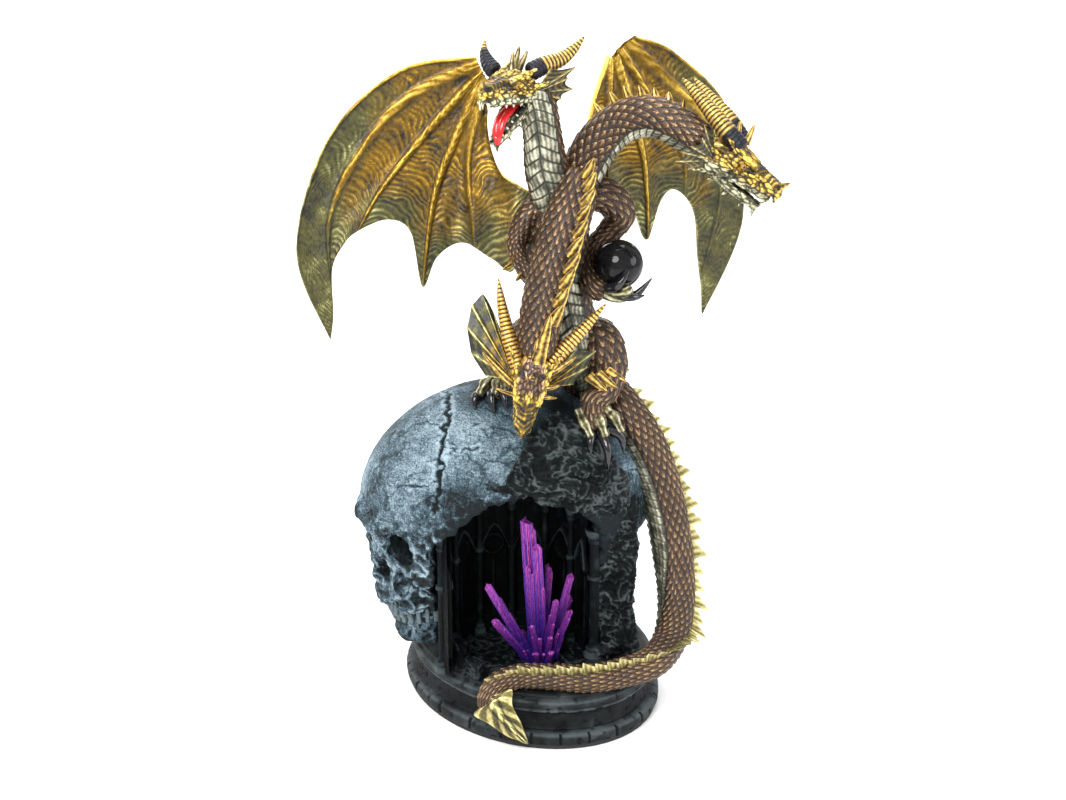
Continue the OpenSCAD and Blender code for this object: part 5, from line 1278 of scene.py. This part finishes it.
def grotto():
    """Vaulted wall with pointed arches, columns, floor and stairs."""
    rows, cols = 300, 560
    phi = np.radians(np.linspace(-104, 104, cols))[None]
    z = np.linspace(31.6, 126, rows)[:, None]
    deg = np.degrees(phi)
    bay = (deg + 15) % 30 - 15
    half = np.abs(bay) / 15
    arch_z = 104 - 20 * half ** 1.5
    inside = smoothstep(0.86, 0.72, half) * smoothstep(arch_z, arch_z - 2, z) * smoothstep(42, 44, z)
    frame_line = np.exp(-((z - arch_z) / 1.6) ** 2) * (half < 0.85)
    mullion = np.exp(-(bay / 1.0) ** 2) * smoothstep(82, 80, z) + np.exp(-((np.hypot(bay * 0.8, z - 90) - 6.5) / 1.1) ** 2)
    p = np.stack([GROTTO[0] + GROTTO_R * np.sin(phi) + 0 * z, GROTTO[1] + GROTTO_R * np.cos(phi) + 0 * z, z + 0 * phi], -1)
    block = np.minimum(np.abs((z % 9) - 4.5), 9) < 0.001
    course = smoothstep(0.5, 0.0, np.abs(((z + 2) % 8) - 4) - 3.4) * 0
    h = 0.6 * fbm(p, 8, 3, 91) + 1.6 * frame_line + 1.4 * mullion * inside - 3.0 * inside + 0 * block - course
    h = h + 2.2 * fbm(p, 12, 3, 92) * smoothstep(106, 118, z)
    r = GROTTO_R - 3.2 - h
    v = np.stack([GROTTO[0] + r * np.sin(phi), GROTTO[1] + r * np.cos(phi), z + 0 * phi], -1)
    back = np.stack([GROTTO[0] + GROTTO_R * np.sin(phi) + 0 * z, GROTTO[1] + GROTTO_R * np.cos(phi) + 0 * z, z + 0 * phi], -1)
    # painted shade: darker inside the recessed arches; lighter on the raised frames and mullions
    cav = np.clip(0.42 - 0.4 * inside + 0.5 * frame_line + 0.6 * mullion * inside + 0.3 * fbm(p, 6, 3, 93), 0, 1)
    s = Soup()
    f = grid_faces(rows, cols)
    s.add(v, f, cav=cav)
    s.add(back[::6, ::6], grid_faces(len(range(0, rows, 6)), len(range(0, cols, 6)))[:, ::-1], cav=0.3)
    s.done("grotto_arcade_wall", M["cave"], replaces=["grotto_wall"], slot="grotto_wall")

    c = Soup()

    def column(x, y, h, r):
        prof = [(0, 0.1), (0, 1.8), (0.02, 1.9), (0.045, 1.75), (0.05, 1.45), (0.075, 1.5), (0.085, 1.2), (0.11, 1.0), (0.2, 0.97),
                (0.3, 0.93), (0.45, 0.93), (0.6, 0.95), (0.615, 1.3), (0.63, 1.4), (0.645, 1.3), (0.66, 0.95), (0.78, 0.98),
                (0.88, 1.0), (0.9, 1.25), (0.915, 1.3), (0.93, 1.2), (0.95, 1.55), (0.98, 1.8), (1.0, 1.8), (1.0, 0.1)]
        q = catmull(prof, 7)
        th = np.linspace(0, 2 * np.pi, 40, endpoint=False)
        shaft = (q[:, 0:1] > 0.11) * (q[:, 0:1] < 0.6)
        flute = 1 - 0.1 * shaft * (0.5 + 0.5 * np.cos(th * 8 + q[:, 0:1] * 14))
        rr = np.maximum(q[:, 1:2], 0.1) * r * flute
        v = np.stack([x + rr * np.cos(th), y + rr * np.sin(th), 31.6 + q[:, 0:1] * h + 0 * th], -1)
        rr = rr + 0.18 * fbm(v, 3, 2, 94)
        v = np.stack([x + rr * np.cos(th), y + rr * np.sin(th), 31.6 + q[:, 0:1] * h + 0 * th], -1)
        c.add(v, grid_faces(len(q), 40, wrap=True), cav=np.clip(0.45 + 0.25 * (q[:, 1:2] - 1) * 2 + 0.3 * fbm(v, 4, 2, 95), 0, 1))
    for k in range(6):
        a = math.radians(30 * (k - 2.5))
        column(GROTTO[0] - (GROTTO_R - 5.5) * math.sin(a), GROTTO[1] + (GROTTO_R - 5.5) * math.cos(a), 92, 1.9)
    column(-66, -33, 88, 2.3)
    column(27, -42, 84, 3.2)
    c.done("grotto_column_set", M["cave_light"], replaces=["grotto_columns"], slot="grotto_columns")

    def floor(p):
        z = p[..., 2]
        r = np.hypot(p[..., 0] - GROTTO[0], p[..., 1] - GROTTO[1])
        t = math.radians(PLINTH_TURN)
        x = p[..., 0] * math.cos(t) + p[..., 1] * math.sin(t)
        y = -p[..., 0] * math.sin(t) + p[..., 1] * math.cos(t)
        lump = 1.1 * fbm(p, 9, 3, 96)
        mound = join(join(ball(p, (-62, -34, 34), (11, 11, 17)), ball(p, (-56, -24, 34), (10, 10, 14)), 2), ball(p, (-52, -44, 33), (9, 9, 11)), 2)
        mound = np.maximum(mound + 1.5 * noise(p, 6, 98), np.maximum(31.5 - z, (np.hypot(x / 67, y / 87) - 1) * 67))
        return np.minimum(mound, np.maximum(np.maximum(r - GROTTO_R + 3.5, (np.hypot(x / 66, y / 85.6) - 1) * 66), np.maximum(z - 33.2 - lump, 31.5 - z)))
    sculpt("grotto_rubble_floor", (-76, -82, 31), (26, 14, 54), 0.65, floor, rock_relief(96, 0.35, 0.12), M["cave"], 1.5,
           replaces=["grotto_floor"], slot="grotto_floor")

    st = Soup()
    for side in (-1, 1):
        a = math.radians(-38 * side)
        for i in range(9):
            w, d, h = 12.0 - 0.3 * i, 12 - 1.3 * i, 1.05
            n = 14
            gx, gy = np.meshgrid(np.linspace(-1, 1, 30), np.linspace(-1, 1, n), indexing="ij")
            x, y = gx * w / 2, 1.3 * i + (gy + 1) / 2 * d
            edge = np.minimum.reduce([(1 - np.abs(gx)) * w / 2, (1 - gy) * d / 2 + 0.3, (1 + gy) * d / 2])
            top = 33.2 + h * (i + 1) - 0.35 * smoothstep(0.8, 0, edge) + 0.22 * noise(np.stack([x, y, 0 * x + i * 5], -1), 2.5, 97)
            for skirt in (False, True):
                if skirt:
                    y2 = np.stack([y[:, 0], y[:, 0] - 0.05], 1)
                    x2 = np.stack([x[:, 0], x[:, 0]], 1)
                    z2 = np.stack([top[:, 0], top[:, 0] - h - 0.4], 1)
                else:
                    x2, y2, z2 = x, y, top
                v = np.stack([GROTTO[0] + 27 * side + x2 * math.cos(a) - y2 * math.sin(a),
                              GROTTO[1] + 13 + x2 * math.sin(a) + y2 * math.cos(a), z2], -1)
                # painted light: treads lighter as if lit from above, risers darker as painted shade
                st.add(v, grid_faces(*v.shape[:2]), cav=0.75 if not skirt else 0.2)
            for e in (0, -1):
                v = np.stack([x[e], y[e], top[e]], -1)
                v = np.stack([v, v - vec(0, 0, h + 0.5)], 1)
                w2 = np.stack([GROTTO[0] + 27 * side + v[..., 0] * math.cos(a) - v[..., 1] * math.sin(a),
                               GROTTO[1] + 13 + v[..., 0] * math.sin(a) + v[..., 1] * math.cos(a), v[..., 2]], -1)
                # painted shade on the ends of each step
                st.add(w2, grid_faces(*w2.shape[:2]), cav=0.3)
    st.done("grotto_stair_flights", M["cave_light"], replaces=["grotto_stairs"], slot="grotto_stairs")


def crystals():
    base = vec(-5, -36, 32.4)
    bars = [(-2, 3, -7, 7, 1.00, 8.6), (1, 0, -3, -1, 0.84, 7.0), (-6, -1, -34, 0, 0.60, 5.4), (-7, -3, -32, -8, 0.38, 5.2),
            (5, 0, 20, 2, 0.58, 5.2), (4, -4, 17, -6, 0.36, 4.6), (2, 5, 9, 12, 0.62, 4.8), (1, -5, 7, -8, 0.46, 4.4),
            (-2, -6, -10, -12, 0.32, 4.2), (6, 4, 24, 12, 0.36, 4.2), (-5, 4, -22, 16, 0.40, 4.4)]
    s = Soup()

    def prism(foot, top, r, seed, sides=6):
        d = top - foot
        length = np.linalg.norm(d)
        f = d / length
        a = unit(np.cross(f, vec(0.2, 1, 0.1)))
        b = np.cross(f, a)
        cols, rows = sides * 8, 40
        th = np.linspace(0, 2 * np.pi, cols, endpoint=False) + seed
        corner = np.cos(np.pi / sides) / np.cos((th - seed) % (2 * np.pi / sides) - np.pi / sides)
        t = np.linspace(0, 1, rows)[:, None]
        rib = 1 - 0.13 * (0.5 + 0.5 * np.cos((th - seed) * sides * 3 + np.pi)) + 0 * t
        tip = np.clip((1 - t) * length / (r * 0.35), 0, 1) ** 0.6
        slant = 0.3 * r * np.cos(th + seed * 3) * smoothstep(0.9, 1.0, t)
        rr = r * corner * rib * (0.86 + 0.14 * (1 - t)) * (0.75 + 0.25 * tip) * (t < 0.999)
        v = foot + f * (t * length + slant)[..., None] + a * (rr * np.cos(th))[..., None] + b * (rr * np.sin(th))[..., None]
        groove = smoothstep(0.2, 0.8, (1 - rib) / 0.13)
        stripe = smoothstep(0.1, 0.7, np.cos((th - seed) * sides))
        edge = np.maximum(stripe, 0.5 * groove) * (0.7 + 0.3 * (1 - t))
        s.add(v, grid_faces(rows, cols, wrap=True), cav=np.clip(0.25 + 0.7 * t ** 0.8 - 0.5 * groove, 0, 1), tone=edge)
    for k, (x0, y0, x1, y1, h, w) in enumerate(bars):
        foot, top = base + vec(x0, y0, 0), base + vec(x1, y1, 90 * h)
        r = w / 2
        prism(foot, top, r, 0.7 * k)
        for j in range(3):
            a = 2.1 * j + k
            off = vec(math.cos(a), math.sin(a), 0) * r * 0.8
            cutoff = 0.94 - 0.13 * j - 0.04 * (k % 3)
            prism(foot + off, foot + off + (top - foot) * cutoff, r * 0.5, a, 4 if j == 1 else 6)
    for k in range(30):
        a = k * 2.399
        rr = 5.5 + 6 * ((k * 7) % 5) / 5
        foot = base + vec(rr * math.cos(a), rr * math.sin(a), 0)
        prism(foot, foot + vec(5 * math.cos(a), 5 * math.sin(a), 8 + 14 * ((k * 3) % 5) / 5), 1.2 + 0.4 * (k % 3), a)
    s.done("crystal_cluster", M["crystal"], replaces=["crystals"], slot="crystals", shade=False)


# ---------------------------------------------------------------- spines, claws and small parts

def spines():
    neck = [[21, -31, 322, 25, -38, 337], [19, -36, 316, 24, -44, 330], [16, -40, 309, 22, -48, 322], [13, -43, 301, 18, -51, 314],
            [11, -45, 293, 16, -53, 306], [8, -46, 284, 13, -54, 297], [6, -47, 275, 11, -55, 288], [3, -47, 266, 8, -55, 279],
            [0, -48, 257, 4, -56, 269], [-3, -48, 247, 1, -56, 259]]
    right = [[44, -22, 364, 40, -21, 371], [50, -26, 367, 47, -25, 374], [56, -31, 368, 54, -30, 375], [62, -36, 367, 61, -35, 374],
             [68, -41, 365, 68, -40, 372], [74, -46, 361, 75, -45, 368], [37, -17, 358, 33, -15, 364]]
    blades("neck_spine_rows", [q + [4.6] for q in neck] + [q + [2.8] for q in right], 3.4, M["gold"], ["neck_spines"], "neck_spines", 0.5)
    fin([[58, -1, 184, 68, 2, 190], [70, -11, 166, 80, -10, 171], [79, -19, 146, 89, -19, 150],
         [85, -27, 121, 96, -28, 124], [87, -36, 96, 98, -38, 97], [85, -46, 73, 95, -49, 70],
         [79, -61, 54, 88, -67, 50], [66, -76, 49, 70, -85, 53], [48, -85, 47, 49, -91, 54],
         [28, -87, 46, 26, -91, 53], [8, -86, 45, 6, -89, 52], [-11, -79, 44, -14, -83, 51], [-30, -71, 43, -33, -74, 49],
         [-45, -69, 38, -49, -70, 42]])


def fin(rows):
    """Ragged fin along the tail: each row is [foot x y z, tip x y z]; 48 teeth lean towards the tip."""
    k = 48
    way = catmull(rows, k)
    feet, tips = way[:, :3], way[:, 3:]
    n = len(way)
    tooth = np.linspace(0, 36, n)
    f = tooth % 1.0
    size = 0.75 + 0.25 * np.sin(np.floor(tooth) * 2.4)
    high = 1.3 * (0.52 + 0.66 * f ** 1.3 * size) * smoothstep(1.0, 0.86, f) + 0.25 * smoothstep(0.86, 1.0, f)
    out = unit(tips - feet)
    along = unit(np.gradient(feet, axis=0))
    side = unit(np.cross(along, out))
    t = np.linspace(-0.25, 1, 16)[:, None]
    length = np.linalg.norm(tips - feet, axis=1) * high
    line = feet[None] + (out * length[:, None])[None] * t[..., None] + along[None] * (1.6 * f ** 2 * np.clip(t, 0, 1))[..., None]
    thick = (3.2 * (1 - np.clip(t, 0, 1)) ** 1.1 + 0.25) * (0.75 + 0.35 * np.cos(2 * np.pi * f)) * np.linspace(1, 0.6, n)
    rib = 0.5 + 0.5 * np.cos(2 * np.pi * 3 * f + 2.0 * t)
    cav = np.clip(0.1 + 0.55 * np.clip(t, 0, 1) + 0.35 * rib + 0 * f, 0, 1)
    s = Soup()
    g = grid_faces(16, n)
    s.add(line + side[None] * thick[..., None], g, cav=cav, tone=0.3)
    s.add(line - side[None] * thick[..., None], g[:, ::-1], cav=cav, tone=0.3)
    s.done("tail_fin", M["leaf"], replaces=["tail_spines"], slot="tail_spines")


def claws():
    s = Soup()

    def claw(points, r, dark):
        line = [[*p, r * k] for p, k in zip(points, (1.0, 0.8, 0.12))]
        skin("", line, [(0.2, -0.9, 0.3)] * len(points), fibre_relief(0.12, 4), None, 0.4, 28, soup=s if dark else g)
    g = Soup()
    for a, b, c in (((-26, -7, 197), (-29, -15, 196), (-29, -21, 188)), ((-22, -9, 197), (-22, -17, 197), (-22, -22, 190)),
                    ((-30, -3, 195), (-37, -9, 194), (-38, -13, 187)), ((27, -36, 176), (23, -43, 172), (22, -46, 163)),
                    ((31, -39, 175), (32, -47, 168), (32, -49, 155)), ((35, -36, 176), (43, -40, 172), (45, -41, 161))):
        claw([a, b, c], 3.3, True)
    s.done("hind_claw_set", M["claw"], replaces=["foot_claws"], slot="foot_claws")
    t = Soup()
    for a, b, c in (((20, -30, 188), (21, -38, 182), (24, -43, 174)), ((28, -32, 188), (30, -40, 183), (32, -45, 174)),
                    ((36, -31, 188), (40, -37, 183), (44, -40, 174)), ((-20, -3, 203), (-24, -11, 202), (-27, -16, 197)),
                    ((-17, -4, 203), (-20, -13, 202), (-22, -18, 198)), ((-23, 0, 202), (-30, -6, 201), (-35, -10, 196))):
        for p, soup in (((a, b, c), t),):
            a, b, c = vec(*a), vec(*b), vec(*c)
            line = [[*a, 3.6], [*(a * 0.5 + b * 0.5), 2.6], [*b, 3.5], [*(b * 0.5 + c * 0.5), 2.3], [*c, 2.9]]
            skin("", line, [(0.1, -0.6, 0.8)] * 5, fibre_relief(0.5, 5, 0.2), None, 0.4, 40, soup=soup)
    t.done("hind_toe_set", M["frill"], slot="right_leg")
    h = Soup()
    for a, b, c in (((40, -26, 256), (50, -33, 254), (60, -31, 254)), ((44, -22, 254), (56, -25, 253), (66, -27, 263)),
                    ((37, -28, 259), (41, -37, 263), (47, -38, 271)), ((42, -12, 257), (54, -8, 258), (63, -12, 266))):
        line = [[*a, 2.8], [*b, 2.5], [*c, 0.4]]
        skin("", line, [(0.1, -0.6, 0.8)] * 3, fibre_relief(0.15, 4), None, 0.4, 28, soup=h)
    h.done("hand_claw_set", M["claw"], replaces=["hand_claws"], slot="hand_claws")
    blades("left_hand_gold_claws", [[-12, -10, 275, -21, -13, 271, 2.6], [-10, -16, 278, -20, -20, 279, 2.2],
                                    [-10, -22, 273, -18, -29, 268, 2.6], [-8, -29, 268, -13, -36, 259, 2.6],
                                    [-4, -31, 264, -5, -38, 254, 2.4]], 2.4, M["gold"], [], "hand_claws")
    blades("right_knee_gold_plates", [[26, -32, 208, 36, -35, 199, 3.4], [31, -33, 209, 43, -34, 200, 3.6],
                                      [37, -32, 210, 50, -30, 202, 3.8], [42, -29, 212, 55, -22, 206, 3.8],
                                      [46, -24, 214, 57, -14, 211, 3.6]], 3.6, M["gold"], [], "right_leg", 0.35)


def small_parts():
    n = 96
    th, ph = np.meshgrid(np.linspace(0, np.pi, n), np.linspace(0, 2 * np.pi, 2 * n, endpoint=False), indexing="ij")
    v = np.stack([np.sin(th) * np.cos(ph), np.sin(th) * np.sin(ph), np.cos(th)], -1)
    p = vec(47.5, -20, 271) + v * (14.5 + 0.12 * noise(v, 0.4, 7)[..., None])
    s = Soup()
    s.add(p, grid_faces(n, 2 * n, wrap=True))
    s.done("orb_black", M["orb"], replaces=["orb"], slot="orb")
    # arrow-shaped tail tip with leaf veins, between a left and a right outline
    rows, cols = 90, 110
    t = np.linspace(0, 1, rows)[:, None]
    w = np.linspace(-1, 1, cols)[None]

    def along_line(points):
        q = catmull(points, 30)
        return np.stack([np.interp(t[:, 0] * (len(q) - 1), np.arange(len(q)), q[:, k]) for k in range(3)], -1)[:, None]
    lhs = along_line([[-51, -73, 33], [-52, -75, 29], [-59, -76, 24.5], [-51, -80, 19], [-42, -84, 12], [-30.5, -88, 6.5]])
    rhs = along_line([[-46, -73, 35], [-43, -75, 35], [-36.5, -78, 38], [-37, -81, 29], [-33, -85, 19], [-29.5, -88, 6.5]])
    mid = lhs * ((1 - w) / 2)[..., None] + rhs * ((1 + w) / 2)[..., None]
    face = unit(vec(-0.32, -0.93, 0.2))
    crest = np.exp(-(w / 0.16) ** 2)
    vein = smoothstep(-0.5, 0.7, np.cos(t * 34 - np.abs(w) * 8 + 1.2 * np.sign(w)))
    edge = np.abs(w) ** 8
    body = np.sqrt(np.clip(1 - w ** 6, 0, 1)) * np.sqrt(np.clip((1 - t) * 12, 0.02, 1))
    h = body * (1.2 + 1.1 * crest * (1 - 0.6 * t) + 0.55 * (vein - 0.5) * smoothstep(0, 0.15, t)) + 0.5 * np.abs(w) * (1 - t)
    cav = np.clip(0.25 + 0.45 * vein + 0.3 * crest + 0.3 * edge - 0.4 * np.exp(-((np.abs(w) - 0.26) / 0.07) ** 2) + 0 * t, 0, 1)
    s = Soup()
    f = grid_faces(rows, cols)
    s.add(mid + face * h[..., None], f, cav=cav, tone=0.3)
    s.add(mid - face * (body * 1.3)[..., None], f[:, ::-1], cav=cav, tone=0.3)
    s.done("tail_tip_leaf", M["leaf"], replaces=["tail_tip"], slot="tail_tip")
    # muscle round each wing's root: one end cast with the body, the other with the wing
    for side, root, axis, arm in (("left", (-9, 14, 288), (-0.72, 0.33, 0.61), [[-20, 25, 300, 4.0, 8], [-24, 30, 306, 2.4, 6],
                                                                                [-27, 32, 312, 1.0, 3]]),
                                  ("right", (37, 9, 318), (0.70, 0.30, 0.65), [[44, 12, 330, 4.0, 8], [47, 12, 337, 2.4, 6],
                                                                               [50, 12, 344, 1.0, 3]])):
        root, axis = vec(*root), vec(*axis)
        inner = [[*(root - axis * 17), 8, 8], [*(root - axis * 9), 8.2, 8], [*(root - axis * 1.2), 6.0, 6.0],
                 [*(root - axis * 0.4), 4.0, 4.0]]
        skin(side + "_wing_boss", inner, [(0.1, 0.2, 1)] * 4, dragon_relief(3.8, 14, 0.1), M["bronze"], 0.5, 90,
             slot="wing_sockets", round_ends=False)
        outer = [[*(root + axis * 0.6), 5.6, 5.6], [*(root + axis * 7), 4.8, 6.5]] + arm
        skin(side + "_wing_shoulder", outer, [(0.1, 0.2, 1)] * 5, fibre_relief(0.7, 5, 0.75), M["wing"], 0.5, 90,
             body=side + "_wing", slot=side + "_wing")
    hand = Soup()
    for line in ([[33, -22, 260, 5, 4.5], [39, -26, 256, 5, 3.6], [45, -27, 254, 4.5, 3.2], [51, -28, 253, 3, 2.4]],
                 [[35, -20, 259, 3.4], [41, -18, 256, 3.2], [47, -22, 254, 3.4], [53, -24, 253.5, 2.8]],
                 [[36, -25, 258, 3.2], [41, -30, 257, 3.0], [46, -34, 258, 3.2], [50, -36, 261, 2.4]],
                 [[36, -17, 260, 3.0], [42, -13, 257, 2.8], [48, -10, 258, 3.0], [52, -9, 260, 2.2]]):
        skin("", line, [(0.1, -0.6, 0.8)] * 4, fibre_relief(0.6, 5, 0.0), None, 0.4, 40, soup=hand)
    hand.done("right_hand_tendons", M["frill"], slot="right_arm")


def node_finishes():
    """The hidden and standard parts keep their solids and get real finishes."""
    for node, key in (("bottom_cover", "black"), ("cover_screws", "steel"), ("foam_pad", "foam"), ("battery_box", "black"),
                      ("battery_door", "black"), ("batteries", "cell"), ("battery_contacts", "steel"), ("switch_body", "black"),
                      ("switch_slider", "grey"), ("led_board", "board"), ("leds", "led"), ("light_window", "window"),
                      ("lead_wires", "wire"), ("wing_sockets", "steel_dark"), ("left_wing_peg", "steel_dark"), ("right_wing_peg", "steel_dark")):
        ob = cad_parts[node]
        ob.data.materials.clear()
        ob.data.materials.append(M[key])


def extra_materials():
    M["horn_gold"] = wash_paint("horn_ringed_gold", dark=(0.01, 0.006, 0.003), mid=(0.26, 0.13, 0.03),
                                light=(0.85, 0.52, 0.14), mid2=(0.30, 0.15, 0.03), light2=(0.9, 0.56, 0.16))
    M["cave_light"] = stone_paint("cave_columns", (0.0006, 0.0009, 0.001), (0.004, 0.006, 0.007), (0.045, 0.06, 0.065), 1.3, 0.5, specular=0.1)
    M["steel_dark"] = plain_finish("bronze_painted_steel", (0.07, 0.045, 0.02), 0.4, 0.8, 0.3, 1.2, 0.05)
    n = Nodes("eye_amber_and_pupil")
    wet = n.noise(0.8, 3)
    white = n.ramp(wet, [(0.3, (0.24, 0.13, 0.03)), (0.7, (0.42, 0.26, 0.07))])
    n.bump(wet, 0.02, 0.5)
    M["eye"] = n.out(n.mix(n.attr("pupil"), white, (0.004, 0.004, 0.006)), n.ramp(wet, [(0.3, (0.06,)), (0.7, (0.14,))]))
    n = Nodes("crystal_purple_metallic")
    streak = n.noise(2.0, 4, 0.6, (4, 4, 0.6))
    body = n.ramp(n.math("ADD", n.attr("cav"), n.math("MULTIPLY", n.math("SUBTRACT", streak, 0.5), 0.9)),
                  [(0.1, (0.004, 0.002, 0.04)), (0.42, (0.09, 0.008, 0.14)), (0.75, (0.36, 0.03, 0.22)), (1.0, (0.72, 0.13, 0.38))])
    edge = n.math("MULTIPLY", n.attr("tone"), 0.85)
    n.bump(streak, 0.3, 0.7)
    M["crystal"] = n.out(n.mix(edge, body, (0.05, 0.03, 0.42)), n.ramp(streak, [(0.3, (0.18,)), (0.7, (0.4,))]), 0.45)


def main():
    make_materials()
    extra_materials()
    stage()
    plinth()
    skull()
    jaw()
    rocks()
    grotto()
    crystals()
    dragon_body()
    limbs()
    tail()
    wings()
    heads()
    horns()
    frills()
    spines()
    claws()
    small_parts()
    node_finishes()


main()
